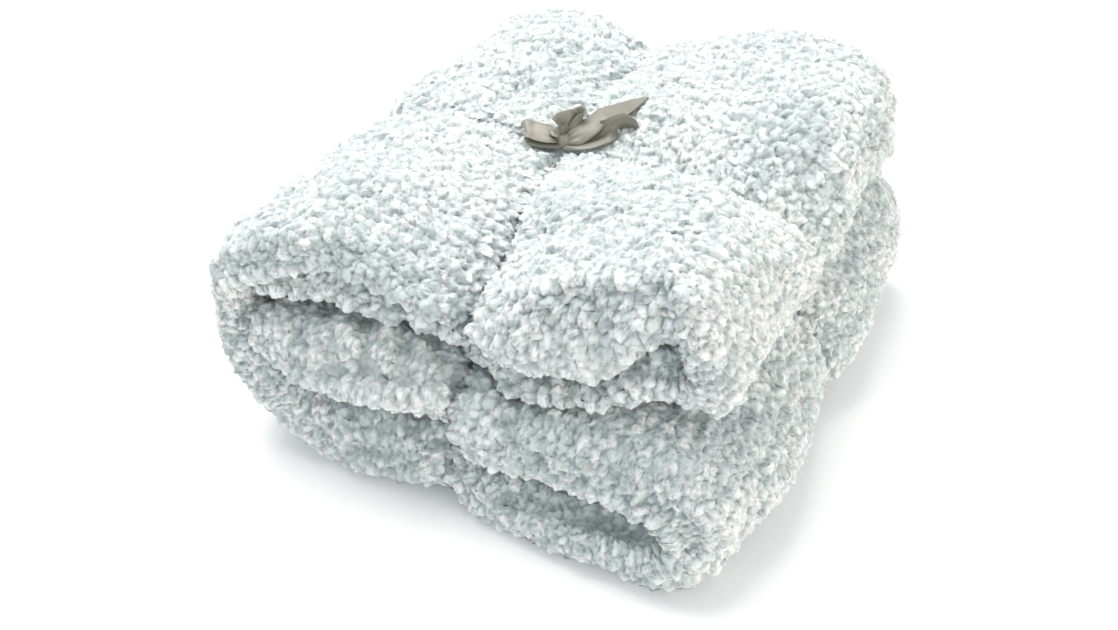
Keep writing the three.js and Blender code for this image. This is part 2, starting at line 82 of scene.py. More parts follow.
BACK_RIGHT_SPREAD = 0.045
SEAM_WIDTH = 0.04
LOBES = [  # right, back, rise, drop
    (False, False, -0.015, 0.025),
    (True, False, 0.09, 0.025),
    (False, True, -0.065, 0.11),
    (True, True, 0.03, -0.05),
]
FRONT_RIGHT_ROUNDING = (0.04, 0.115)  # more for the front right corner, at the foot and at the top
FRONT_RIGHT_START = 0.25
FRONT_RIGHT_REACH = 0.45
# Tops of D, C and B as shares of the height: in the stack, at the back, front left and front right.
# Then how much they rise beside the ribbon, left and right of it, and towards the bend at the front right.
LEVELS = {
    "D": (0.250, 0.250, 0.300, 0.235, 0.10, -0.05, 0.0),
    "C": (0.552, 0.600, 0.690, 0.505, 0.03, 0.085, 0.01),
    "B": (0.802, 0.840, 0.800, 0.575, 0.12, 0.08, 0.16),
}
PINCH_REACH = 0.035
FRONT_DEPTH = 0.15  # over which the layers go from the back's levels to the front's
BEND_START_X = 0.09
BEND_LENGTH = 0.045
WRAP_END = -0.185  # where the layers begin to move, inside the outer wrap
WRAP_REACH = 0.06
UNDER_LIFT = 0.005
LIFT_REACH = 0.03
LIFT_FLAT = 0.008
CLOSE_SHARE = 0.66
CLOSE_REACH = 0.016
DRIFT = 0.018  # how far the cloth at the top of the front groove is pushed to the right
DRIFT_START = -0.02
DRIFT_LENGTH = 0.16
DRIFT_REACH = 0.07
MOST_SHARE = 1.1
AXES = np.array([-0.009968, 0.003089, 0.0])  # from the fold's own axes to the frame's origin

# ---- The pile ----

PILE = 0.0065  # how far the skin lies under the tips of the pile
TUFT_SPACING = 0.0047
TUFT_HEIGHT = 0.0070
TUFT_DROP = 0.0008  # from a tuft's top to the crease between it and the next
DROP_POWER = 2.2
SIDE_RELIEF = 0.25  # how much deeper the creases between tufts are on upright faces
TIP_REACH = 2.5  # in drops, how far down a tuft its tip reaches
TUFT_UNEVEN = (0.92, 1.08)  # in height
TUFT_LUMPS = ((0.024, 21), (0.012, 22))  # wavelengths over which the height changes, and seeds
LUMP_RISE = 0.09
TUFT_STRETCH = (0.95, 1.35)
TURNED_LENGTH = 0.028  # the wavelength with which their long sides turn
TURNED_RANDOM = 0.55
TURNED_NAP = 0.5
SHARPNESS = 2600.0  # how sharply tufts meet
CANDIDATES = 16  # tried for each place, so that no bare spots are left
CRACK = 0.0009  # how far from level two tufts are at the edge of the gap between them
CRACK_DEPTH = 0.0006
CURL = 0.0003  # the small lumps on each tuft
CURLS = (0.0042, 31)  # wavelength and seed
ROUGH = 0.00022  # how far points are off at random
LEAST_PILE = 0.0012
PRESSED_PILE = 0.0015  # where the ribbon or another ply lies on it
ROOM_REACH = 0.03  # how far off another ply still matters
ROOM_SHARE = 0.6  # of the room before the next ply, how much a tuft takes
SAME_SIDE = 0.2  # the least cosine between a point's normal and those of its tufts
STRAND_BEND = 160  # of the drawn strands, for each metre along a tuft
STRAND_COUNT, STRAND_APART = 997, 0.05  # so that tufts have strands of their own
CLUMP_ROW = 0.0095  # tufts stand in clumps, in rows this far apart
CLUMP_LENGTH = 0.0125
CLUMP_JITTER = 0.8
CLUMP_SOFT = 0.55
CLUMP_DROP = 0.4
# The last of these is painted shade, which darkens the gaps between the clumps of tufts.
MIDDLE_SHADE, STREAK_SHADE, PATCH_SHADE, TUFT_SHADE, CLUMP_GAP_PAINTED_SHADE = 0.54, 0.26, 0.20, 0.10, 0.3
STREAK = (0.035, 11, (0.35, 1.6))  # wavelength, seed and stretch
PATCH = (0.09, 12)
NEAREST = 5
WARP = 0.0008  # how far the tufts' outlines are off
WARPS = ((0.008, 5), (0.0045, 6))  # wavelengths and seeds
FINE = 0.0013  # between points of the pile
NAP_LEAN = 0.12
SWIRL_LEAN = 0.12
SWIRL_LENGTH = 0.03
RANDOM_LEAN = 0.12
RIBBON_LEAN = 0.016  # tufts nearer than this to the ribbon's line lean over it
RIBBON_BARE = 0.0025
BARE_EDGE = 0.004
FIBRES = 36000
FIBRE_LENGTH = (0.0016, 0.0036)
FIBRE_WIDTH = (0.00016, 0.0003)
FIBRE_ROOT = 0.0006
FIBRE_RISE, FIBRE_COMB, FIBRE_RANDOM = (0.25, 0.9), 0.6, 0.45
COMB_LENGTH = 0.012
FUZZ_TIP, FUZZ_ABOVE = 0.45, 0.004  # fibres stand on tips, and clear of the floor
SKIN_STEP = 0.011
SKIN_RUN = 27  # points along a ply, from front to back
TURN_STEPS = 5
ZIP_STRETCH = 3  # the stretch of the outline from whose middle the ends are zipped
INNER_DROP = 0.0008  # from the skin to the inner side of the pile
STEEP, FACING_SIDE = 0.45, 0.5  # parts of a normal that tell the bundle's sides and top apart
FLOOR_GAP = 0.0003
SETTLE_BELOW = 0.03
SIDE_BAND = 0.96  # the share of the bake's map that the skin's sides take
CAP_BANDS = ((0.965, 0.98), (0.985, 1.0))
TILE_EDGE = 0.04
OUTER_BAND = 0.93  # the share of a pile piece's map that its outer side takes
SMALL_BAND = (0.931, 0.999)  # where its inner side and walls are
SMALL_ROWS = 6
SQUARE = np.array([(0, 0), (1, 0), (1, 1), (0, 1)])
SIGHT_RAYS = 14
LOWEST_RAY = 0.98
GOLDEN_ANGLE = 2.39996
SIGHT_START = 0.003
SIGHT_REACH = 0.12
LEAST_SEEN = 0.1


def smoothstep(t):
    t = np.clip(t, 0, 1)
    return t * t * (3 - 2 * t)


def lerp(a, b, t):
    return a + (b - a) * t


def dot(a, b):
    return (a * b).sum(-1)


def unit(vectors):
    return vectors / np.linalg.norm(vectors, axis=-1, keepdims=True)


def flatten(vectors, normals):
    """The part of each vector that lies across its normal."""
    return vectors - dot(vectors, normals)[:, None] * normals


# ---- Path of the strip in the X-Z plane ----

HEIGHTS = {}
_z = 0.0
for _name in "DCBA":
    HEIGHTS[_name] = _z + LAYERS[_name]["thickness"] / 2
    _z += LAYERS[_name]["thickness"] + LAYER_GAP
STACK_HEIGHT = HEIGHTS["A"] + LAYERS["A"]["thickness"] / 2
WRAP_RADIUS = (HEIGHTS["A"] - HEIGHTS["D"]) / 2
WRAP_Z = (HEIGHTS["A"] + HEIGHTS["D"]) / 2
OUTER_HALF = (LAYERS["A"]["thickness"] + LAYERS["D"]["thickness"]) / 4
WRAP_X = OUTER_WRAP_X + WRAP_RADIUS + OUTER_HALF
UPPER_X = UPPER_BEND_X - (LAYERS["A"]["thickness"] + LAYERS["B"]["thickness"]) / 2
LOWER_X = LOWER_BEND_X - (LAYERS["C"]["thickness"] + LAYERS["D"]["thickness"]) / 2


def front_at(name, x):
    return LAYERS[name]["front"] + LAYERS[name]["skew"] * x / HALF_PLAN


def station(x, z, nx, nz, half, front, back):
    return dict(x=x, z=z, nx=nx, nz=nz, half=half, front=front, back=back)


def straight_run(name, start, end):
    layer = LAYERS[name]
    outward = 1 if name in "AC" else -1
    count = math.ceil(abs(end - start) / SKIN_STEP) + 1
    return [
        station(x, HEIGHTS[name], 0, outward, layer["thickness"] / 2, front_at(name, x), layer["back"])
        for x in np.linspace(start, end, count)
    ]


def turn(before, after, centre_x, side):
    a, b = LAYERS[before], LAYERS[after]
    centre_z = (HEIGHTS[before] + HEIGHTS[after]) / 2
    radius = (HEIGHTS[after] - HEIGHTS[before]) / 2
    steps = math.ceil(math.pi * (abs(radius) + a["thickness"] / 2) / SKIN_STEP)
    made = []
    for i in range(1, steps):
        angle = math.pi * i / steps
        share = smoothstep(i / steps)
        nx = side * math.sin(angle)
        nz = -math.copysign(1, radius) * math.cos(angle)
        x = centre_x + nx * abs(radius)
        made.append(
            station(
                x,
                centre_z + nz * abs(radius),
                nx,
                nz,
                lerp(a["thickness"], b["thickness"], share) / 2,
                lerp(front_at(before, x), front_at(after, x), share),
                lerp(a["back"], b["back"], share),
            )
        )
    return made


def free_end(name):
    """B and C end inside the outer wrap, rounded to fit it."""
    layer = LAYERS[name]
    side = 1 if HEIGHTS[name] > WRAP_Z else -1
    centre = abs(HEIGHTS[name] - WRAP_Z)
    inner = WRAP_RADIUS - OUTER_HALF - LAYER_GAP
    made = []
    for angle in END_ANGLES:
        high = min(inner * math.cos(angle), centre + layer["thickness"] / 2)
        low = max(centre - layer["thickness"] / 2, LAYER_GAP / 2)
        x = WRAP_X - inner * math.sin(angle)
        made.append(
            station(x, WRAP_Z + side * (high + low) / 2, 0, -side, (high - low) / 2, front_at(name, x), layer["back"])
        )
    return made


def strip_stations():
    """The whole path as one dict of arrays, from B's free end to C's."""
    rows = [
        *free_end("B")[::-1],
        *straight_run("B", WRAP_X, UPPER_X),
        *turn("B", "A", UPPER_X, 1),
        *straight_run("A", UPPER_X, WRAP_X),
        *turn("A", "D", WRAP_X, -1),
        *straight_run("D", WRAP_X, LOWER_X),
        *turn("D", "C", LOWER_X, 1),
        *straight_run("C", LOWER_X, WRAP_X),
        *free_end("C"),
    ]
    return {key: np.array([row[key] for row in rows]) for key in rows[0]}


# ---- Section of the strip: three plies, folded in thirds ----

def half_turn(y, v, radius, start, end, steps):
    """Points of a half turn about (y, v), without its two ends, for every station at once."""
    angles = np.radians(np.linspace(start, end, steps + 1)[1:-1])
    return np.stack([y[:, None] + radius[:, None] * np.cos(angles), v[:, None] + radius[:, None] * np.sin(angles)], -1)


def section_outlines(stations, inset):
    """Outlines (station, point, (y, v)), and the first index of each of their 12 segments."""
    half = np.maximum(stations["half"] - inset, LEAST_HALF * stations["half"])
    front = stations["front"] + inset
    back = stations["back"] - inset
    slit = SLIT_SHARE * 2 * half
    ply = (2 * half - 2 * slit) / 3
    front_y = front + half
    back_radius = ply + slit / 2
    back_y = back - back_radius
    middle = (ply + slit) / 2
    share = np.linspace(0, 1, SKIN_RUN)
    run = lerp(front_y[:, None], back_y[:, None], share)
    zero = np.zeros_like(half)

    def backward(v):
        return np.stack([run, np.broadcast_to(v[:, None], run.shape)], -1)

    def forward(v):
        return backward(v)[:, ::-1]

    segments = [
        forward(half),
        half_turn(front_y, zero, half, 90, 270, 2 * TURN_STEPS),
        backward(-half),
        half_turn(back_y, -ply - slit, ply / 2, -90, 90, TURN_STEPS),
        forward(-ply / 2 - slit),
        half_turn(front_y, zero, ply / 2 + slit, 270, 90, 2 * TURN_STEPS),
        backward(ply / 2 + slit),
        half_turn(back_y, middle, slit / 2, 90, -90, 2 * TURN_STEPS),
        forward(ply / 2),
        half_turn(front_y, zero, ply / 2, 90, 270, TURN_STEPS),
        backward(-ply / 2),
        half_turn(back_y, middle, back_radius, -90, 90, 2 * TURN_STEPS),
    ]
    starts = np.cumsum([0] + [part.shape[1] for part in segments])
    return np.concatenate(segments, 1), starts


# ---- The squeeze that turns the flat stack into four lobes ----

def groove(distance, reach, power):
    beyond = np.maximum(np.abs(distance) - GROOVE_FLAT, 0)
    return np.exp(-((beyond / reach) ** power))


def beyond_seam(distance):
    return smoothstep(0.5 + distance / (2 * SEAM_WIDTH))


def height_share(x, y):
    ex = np.clip(np.abs(x) / HALF_PLAN, 0, MOST_SHARE)
    ey = np.clip(np.abs(y) / HALF_PLAN, 0, MOST_SHARE)
    right, back = beyond_seam(x), beyond_seam(y)
    pillow = np.sin(np.pi * np.minimum(ex, 1)) * np.sin(np.pi * np.minimum(ey, 1))
    top = 1 - DOME_SHARE * (ex**DOME_POWER + ey**DOME_POWER)
    for is_right, is_back, rise, drop in LOBES:
        weight = (right if is_right else 1 - right) * (back if is_back else 1 - back)
        top = top + weight * (rise * pillow - drop * ex**2 * ey**2)
    gx = groove(x - RIBBON_X, GROOVE_REACH, GROOVE_POWER)
    gy = groove(y - RIBBON_Y, GROOVE_REACH, GROOVE_POWER)
    along_y = lerp(KNOT_SHARE, np.where(y > 0, EDGE_BACK, EDGE_FRONT), ey**EDGE_POWER)
    along_x = lerp(KNOT_SHARE, np.where(x > 0, EDGE_RIGHT, EDGE_LEFT), ex**EDGE_POWER)
    between = top * (1 - gx) * (1 - gy)
    return between + along_y * gx * (1 - gy) + along_x * gy * (1 - gx) + KNOT_SHARE * gx * gy


def under_lift(x, y):
    def beside(distance):
        return 1 - smoothstep((np.abs(distance) - LIFT_FLAT) / LIFT_REACH)

    return UNDER_LIFT * np.maximum(beside(x - RIBBON_X), beside(y - RIBBON_Y))


def sink_layers(x, y, share):
    """Moves the layers up or down within the stack, to where they lie at each end."""
    front = smoothstep(-y / FRONT_DEPTH)
    right = beyond_seam(x)
    bend = front * smoothstep((x - BEND_START_X) / BEND_LENGTH)
    pinch = front * np.exp(-(((x - RIBBON_X) / PINCH_REACH) ** 2))
    inside = smoothstep((x - WRAP_END) / WRAP_REACH)
    moved = np.zeros_like(share)
    own_below, below = 0.0, 0.0
    for own, at_back, front_left, front_right, left_pinch, right_pinch, at_bend in LEVELS.values():
        level = lerp(at_back, lerp(front_left, front_right, right), front)
        level = level + lerp(left_pinch, right_pinch, right) * pinch + at_bend * bend
        level = lerp(own, level, inside)
        here = (share >= own_below) & (share < own)
        moved = np.where(here, below + (share - own_below) / (own - own_below) * (level - below), moved)
        own_below, below = own, level
    return np.where(share >= own_below, below + (share - own_below) / (1 - own_below) * (1 - below), moved)


def squeeze(points):
    x, y, z = np.moveaxis(points, -1, 0)
    ex = np.clip(np.abs(x) / HALF_PLAN, 0, MOST_SHARE)
    ey = np.clip(np.abs(y) / HALF_PLAN, 0, MOST_SHARE)
    pull_x = SIDE_PULL / HALF_PLAN * groove(y - RIBBON_Y, SIDE_REACH, SIDE_POWER)
    pull_y = SIDE_PULL / HALF_PLAN * groove(x - RIBBON_X, SIDE_REACH, SIDE_POWER)
    share = sink_layers(x, y, z / STACK_HEIGHT)
    corner = smoothstep((-y / HALF_PLAN - FRONT_RIGHT_START) / FRONT_RIGHT_REACH) * beyond_seam(x)
    rounding = lerp(*FRONT_RIGHT_ROUNDING, share) * corner
    spread = 1 + BACK_RIGHT_SPREAD * (1 - share) * beyond_seam(x) * beyond_seam(y)
    return np.stack(
        [
            x * (1 - pull_x) * (1 - CORNER_ROUNDING * ey**ROUNDING_POWER - rounding) * spread,
            y * (1 - pull_y) * (1 - CORNER_ROUNDING * ex**ROUNDING_POWER),
            share * LOBE_HEIGHT * height_share(x, y) + (1 - share) * under_lift(x, y),
        ],
        -1,
    )


# ---- How uneven the cloth lies ----

FLAT_FOOT = 0.05
NOISE_WAVES = 6
VALUE_WAVES, VALUE_SPREAD, VALUE_SCALE = 14, (0.6, 1.5), 0.7
WAVES = [  # wavelength and height of the lumps in the cloth
    (0.110, 0.0030),
    (0.055, 0.0016),
]


def smooth_noise(points, wavelength, rng):
    """Three smooth random values at each point, from a few waves in random directions."""
    total = np.zeros(points.shape)
    for axis in range(3):
        for _ in range(NOISE_WAVES):
            direction = rng.normal(size=3)
            direction /= np.linalg.norm(direction) * wavelength * rng.uniform(0.8, 1.3)
            total[..., axis] += np.sin(2 * np.pi * (points @ direction) + rng.uniform(0, 2 * np.pi))
    return total / math.sqrt(NOISE_WAVES)


def drift(points):
    """Pushes the front groove to the right, most at its top, where the left lobe crowds it."""
    x, y, z = np.moveaxis(points, -1, 0)
    along = np.clip((DRIFT_START - y) / DRIFT_LENGTH, 0, 1)
    moved = points.copy()
    moved[..., 0] += DRIFT * along * np.clip(z / DRIFT_LENGTH, 0, 1) * np.exp(-(((x - RIBBON_X) / DRIFT_REACH) ** 2))
    return moved


def close_grooves(points):
    """Draws the cloth on both sides of the ribbon together over it."""
    moved = points.copy()
    for axis, line in ((0, RIBBON_X), (1, RIBBON_Y)):
        off = points[..., axis] - line
        moved[..., axis] -= off * CLOSE_SHARE * np.exp(-((off / CLOSE_REACH) ** 2))
    return moved


def lay_uneven(points):
    """Moves points of the tied bundle a little, as loose cloth lies. The foot stays flat."""
    rng = np.random.default_rng(7)
    moved = close_grooves(points)
    above = smoothstep(points[..., 2:3] / FLAT_FOOT)
    for wavelength, height in WAVES:
        moved += smooth_noise(points, wavelength, rng) * height * above
    return drift(moved)


# ---- Meshes ----

def mesh_object(name, vertices, faces):
    mesh = bpy.data.meshes.new(name)
    mesh.from_pydata(vertices.reshape(-1, 3).tolist(), [], [tuple(face) for face in faces])
    mesh.polygons.foreach_set("use_smooth", [True] * len(mesh.polygons))
    mesh.update()
    piece = bpy.data.objects.new(name, mesh)
    bpy.context.scene.collection.objects.link(piece)
    return piece


def add_uv(piece, coordinates):
    """The bake's map: coordinates holds one (u, v) for each corner of each face, in order."""
    layer = piece.data.uv_layers.new(name="OFBake")
    layer.data.foreach_set("uv", np.asarray(coordinates, float).ravel())


def add_values(piece, name, values):
    """Adds an attribute with one number, or one vector, for each vertex."""
    kind, field = ("FLOAT", "value") if values.ndim == 1 else ("FLOAT_VECTOR", "vector")
    piece.data.attributes.new(name, kind, "POINT").data.foreach_set(field, values.ravel())


def read_points(items, field):
    """The three values that each item of a mesh holds in a field."""
    values = np.zeros(len(items) * 3)
    items.foreach_get(field, values)
    return values.reshape(-1, 3)


def grid_faces(rows, columns):
    """Quads between neighbouring points of a row of closed loops, numbered loop by loop."""
    i, j = np.meshgrid(np.arange(rows - 1), np.arange(columns), indexing="ij")
    here, beside = i * columns + j, i * columns + (j + 1) % columns
    return np.stack([here, here + columns, beside + columns, beside], -1).reshape(-1, 4)


def end_caps(rows, columns, middle):
    """The two end loops zipped shut, from between point middle - 1 and point middle."""
    steps = np.arange(columns // 2 - 1)
    left, right = middle - 1 - steps, middle + steps
    first = np.stack([left, right, right + 1, left - 1], -1) % columns
    return first, (rows - 1) * columns + first[:, ::-1]


def bake_map(sides, rows, columns, caps):
    """(u, v) of every corner: the sides unrolled, then a band of tiles for each end."""
    unrolled = np.stack(np.divmod(sides[:, 0], columns), -1)[:, None] + SQUARE
    across = (np.arange(caps)[:, None] + [0, 0, 1, 1]) / caps
    ends = [np.stack([across, np.tile([low, high, high, low], (caps, 1))], -1) for low, high in CAP_BANDS]
    return np.concatenate([unrolled * [1 / (rows - 1), SIDE_BAND / columns], *ends])


def signed_volume(vertices, quads):
    a, b, c, d = (vertices[quads[:, k]] for k in range(4))
    return float(dot(a, np.cross(b, c)).sum() + dot(a, np.cross(c, d)).sum()) / 6


def closed_grid(name, points, middle=0):
    """A closed piece through a row of loops of points. Each end is zipped shut."""
    rows, columns = points.shape[:2]
    sides = grid_faces(rows, columns)
    first, last = end_caps(rows, columns, middle)
    faces = np.concatenate([sides, first, last])
    piece = mesh_object(name, points, faces)
    add_uv(piece, bake_map(sides, rows, columns, len(first)))
    if signed_volume(points.reshape(-1, 3), faces) < 0:
        piece.data.flip_normals()
    return piece


# ---- The skin: the cloth under its pile ----

def settle(points):
    """Lets the lowest part of the skin down to the floor."""
    settled = points.copy()
    settled[..., 2] -= (PILE - FLOOR_GAP) * (1 - smoothstep(points[..., 2] / SETTLE_BELOW))
    settled[..., 2] = np.maximum(settled[..., 2], FLOOR_GAP)
    return settled


def flat_points(inset):
    """The grid of the cloth's surface in the flat stack, before the squeeze."""
    stations = strip_stations()
    outlines, starts = section_outlines(stations, inset)
    y, v = outlines[..., 0], outlines[..., 1]
    x = stations["x"][:, None] + stations["nx"][:, None] * v
    z = stations["z"][:, None] + stations["nz"][:, None] * v
    return np.stack([x, y, z], -1), starts


def build_skin():
    """The skin, and its grid in the flat stack."""
    flat, starts = flat_points(PILE)
    points = settle(lay_uneven(squeeze(flat))) + AXES
    skin = closed_grid("fleece_skin", points, starts[ZIP_STRETCH] + (TURN_STEPS - 1) // 2)
    creased = crease(read_points(skin.data.vertices, "co"), read_points(skin.data.vertex_normals, "vector"))
    skin.data.vertices.foreach_set("co", creased.ravel())
    skin.data.update()
    return skin, flat


# ---- Where the pile stands ----

def hemisphere(count):
    """Unit directions spread over the hemisphere about +Z."""
    k = np.arange(count) + 0.5
    z = np.sqrt(1 - k / count * LOWEST_RAY)
    angle = k * GOLDEN_ANGLE
    r = np.sqrt(1 - z * z)
    return np.stack([r * np.cos(angle), r * np.sin(angle), z], -1)


def frames_about(normals):
    """Two unit directions across each normal."""
    helper = np.where(np.abs(normals[:, 2:3]) < 0.9, [[0.0, 0.0, 1.0]], [[1.0, 0.0, 0.0]])
    first = unit(np.cross(helper, normals))
    return first, np.cross(normals, first)


def exposure(tree, points, normals):
    """The share of directions in which each point of the skin looks out past the cloth and the floor."""
    spread = hemisphere(SIGHT_RAYS)
    first, second = frames_about(normals)
    shares = np.zeros(len(points))
    for k, (point, normal) in enumerate(zip(points, normals)):
        start = point + normal * SIGHT_START
        for direction in spread[:, :1] * first[k] + spread[:, 1:2] * second[k] + spread[:, 2:3] * normal:
            if start[2] + direction[2] * SIGHT_REACH < 0:
                continue
            if tree.ray_cast(Vector(start), Vector(direction), SIGHT_REACH)[0] is None:
                shares[k] += 1 / SIGHT_RAYS
    return shares


def scatter(points, normals, spacing):
    """Picks points, in their own order, that are a spacing apart from those picked on the same side."""
    cells = {}
    picked = []
    around = list(itertools.product((-1, 0, 1), repeat=3))
    for k, (i, j, l) in enumerate(np.floor(points / spacing).astype(int).tolist()):
        near = [n for a, b, c in around for n in cells.get((i + a, j + b, l + c), ())]
        if near:
            close = ((points[near] - points[k]) ** 2).sum(1) < spacing**2
            if (close & (normals[near] @ normals[k] > 0)).any():
                continue
        cells.setdefault((i, j, l), []).append(k)
        picked.append(k)
    return np.array(picked)


def ribbon_gaps(points):
    """The way from points of the frame to the ribbon's two lines, along X and along Y."""
    local = points - AXES
    on_line = local.copy()
    on_line[:, 0] = RIBBON_X
    line_x = drift(on_line)[:, 0]
    return np.stack([line_x - local[:, 0], RIBBON_Y - local[:, 1]], -1)


def bare_width(points):
    """How far from the ribbon's middle no tufts stand: only near the knot does it show."""
    from_knot = np.hypot(points[:, 0] - KNOT_CENTRE[0], points[:, 1] - KNOT_CENTRE[1])
    hidden = smoothstep((from_knot - NEAR_KNOT[0]) / NEAR_KNOT[1])
    return RIBBON_BARE * (1 - hidden) * (points[:, 2] > KNOT_CENTRE[2] / 2)


def ribbon_distance(points):
    """How far points of the frame lie from the nearer of the two lines of the ribbon."""
    return np.abs(ribbon_gaps(points)).min(1)


def tuft_places(skin, grid, normals):
    """Where the tufts stand, and how open each quad of the skin lies."""
    rows, columns = grid.shape[:2]
    tree = BVHTree.FromPolygons(grid.reshape(-1, 3).tolist(), [tuple(face.vertices) for face in skin.data.polygons])
    i, j = (index.ravel() for index in np.meshgrid(np.arange(rows - 1), np.arange(columns), indexing="ij"))
    right = (j + 1) % columns

    def corners_of(values):
        return np.stack([values[i, j], values[i + 1, j], values[i + 1, right], values[i, right]], 1)

    corners, corner_normals = corners_of(grid), corners_of(normals)
    seen = exposure(tree, corners.mean(1), unit(corner_normals.mean(1)))
    area = np.linalg.norm(np.cross(corners[:, 2] - corners[:, 0], corners[:, 3] - corners[:, 1]), axis=1) / 2
    weight = area * (seen > 0)
    count = int(weight.sum() / TUFT_SPACING**2 * CANDIDATES)
    quad = RNG.choice(len(area), size=count, p=weight / weight.sum())
    s, t = RNG.random((2, count, 1))

    def within(values):
        a, b, c, d = np.moveaxis(values[quad], 1, 0)
        return (1 - s) * (1 - t) * a + s * (1 - t) * b + s * t * c + (1 - s) * t * d

    row_gap = np.median(np.linalg.norm(np.diff(grid, axis=0), axis=2), axis=1)
    column_gap = np.median(np.linalg.norm(np.roll(grid, -1, 1) - grid, axis=2), axis=0)
    path = [
        np.cumsum([0, *gap])[number[quad]] + share[:, 0] * gap[number[quad]]
        for gap, number, share in ((row_gap, i, s), (column_gap, j, t))
    ]
    nap = corners[:, 3] - corners[:, 0] + corners[:, 2] - corners[:, 1]
    place, normal = within(corners), unit(within(corner_normals))
    found = dict(place=place, normal=normal, nap=unit(nap[quad]), path=np.stack(path, -1))
    picked = scatter(place, normal, TUFT_SPACING)
    picked = picked[ribbon_distance(place[picked]) > bare_width(place[picked])]
    return {key: values[picked] for key, values in found.items()}, tree, seen


# ---- The pile: rounded tufts that run into each other ----

def noise_value(points, wavelength, seed, stretch=(1.0, 1.0, 1.0)):
    """One smooth value about 0, mostly within -1 and 1, from waves in random directions."""
    rng = np.random.default_rng(seed)
    total = np.zeros(len(points))
    scaled = points / np.array(stretch[: points.shape[1]])
    for _ in range(VALUE_WAVES):
        direction = rng.normal(size=points.shape[1])
        direction /= np.linalg.norm(direction) * wavelength * rng.uniform(*VALUE_SPREAD)
        total += np.sin(2 * np.pi * (scaled @ direction) + rng.uniform(0, 2 * np.pi))
    return total / math.sqrt(VALUE_WAVES / 2) * VALUE_SCALE


def cell_random(i, j, seed):
    """An even random value for each cell of a grid."""
    wave = np.sin(i * 127.1 + j * 311.7 + seed * 74.7) * 43758.5453
    return wave - np.floor(wave)


def clump_inside(path):
    """0 at the edge of a clump of tufts and 1 well inside. The clumps stand in uneven rows along the plies."""
    u, v = path[:, 0] / CLUMP_ROW, path[:, 1] / CLUMP_LENGTH
    gaps = []
    for across in (-1, 0, 1):
        i = np.floor(u) + across
        offset = cell_random(i, 0, 1)
        for along in (-1, 0, 1):
            j = np.floor(v + offset) + along
            middle_u = i + 0.5 + CLUMP_JITTER * (cell_random(i, j, 2) - 0.5)
            middle_v = j + 0.5 - offset + CLUMP_JITTER * (cell_random(i, j, 3) - 0.5)
            gaps.append(np.hypot(u - middle_u, v - middle_v))
    gaps = np.sort(gaps, axis=0)
    return smoothstep((gaps[1] - gaps[0]) / CLUMP_SOFT)


def make_tufts(places, trees):
    """Each tuft's height, lean, shape and shade. Nothing in the trees may be reached."""
    place, normal, nap, path = (places[key] for key in ("place", "normal", "nap", "path"))
    count = len(place)
    lump = sum(noise_value(place, wavelength, seed) for wavelength, seed in TUFT_LUMPS)
    outside = 1 - clump_inside(path)
    height = TUFT_HEIGHT * (1 + LUMP_RISE * lump - CLUMP_DROP * outside) * RNG.uniform(*TUFT_UNEVEN, count)
    swirl = smooth_noise(place, SWIRL_LENGTH, np.random.default_rng(3))
    gaps = ribbon_gaps(place)
    near = smoothstep((RIBBON_LEAN - np.abs(gaps)) / (RIBBON_LEAN - RIBBON_BARE))
    lean = nap * NAP_LEAN + swirl * SWIRL_LEAN + RNG.normal(size=(count, 3)) * RANDOM_LEAN
    lean[:, :2] += near * np.sign(gaps)
    for k in range(count):
        start, way = Vector(place[k] + normal[k] * PRESSED_PILE), Vector(normal[k])
        hits = [tree.ray_cast(start, way, ROOM_REACH)[3] for tree in trees]
        room = min((hit for hit in hits if hit is not None), default=math.inf)
        height[k] = min(height[k], max(room * ROOM_SHARE, PRESSED_PILE))
    shade = MIDDLE_SHADE + STREAK_SHADE * noise_value(path, *STREAK) + PATCH_SHADE * noise_value(place, *PATCH)
    # Painted shade: darker in the gaps between the clumps, and in the patches where the front and low faces lie in
    # shade.
    shade += TUFT_SHADE * RNG.normal(size=count) - CLUMP_GAP_PAINTED_SHADE * outside - painted_shade(place)
    # Painted shade in the creases' troughs, and painted light on their ridges.
    shade += CREASE_PAINTED_SHADE * moved_rise(place + normal * PILE, normal)
    turned = smooth_noise(place, TURNED_LENGTH, np.random.default_rng(9))
    long_way = unit(flatten(turned + TURNED_RANDOM * RNG.normal(size=(count, 3)) + TURNED_NAP * nap, normal))
    return dict(
        height=height,
        lean=flatten(lean, normal),
        shade=np.clip(shade, 0, 1),
        long_way=long_way,
        short_way=np.cross(normal, long_way),
        stretch=RNG.uniform(*TUFT_STRETCH, count),
        bend=RNG.uniform(-STRAND_BEND, STRAND_BEND, count),
    )


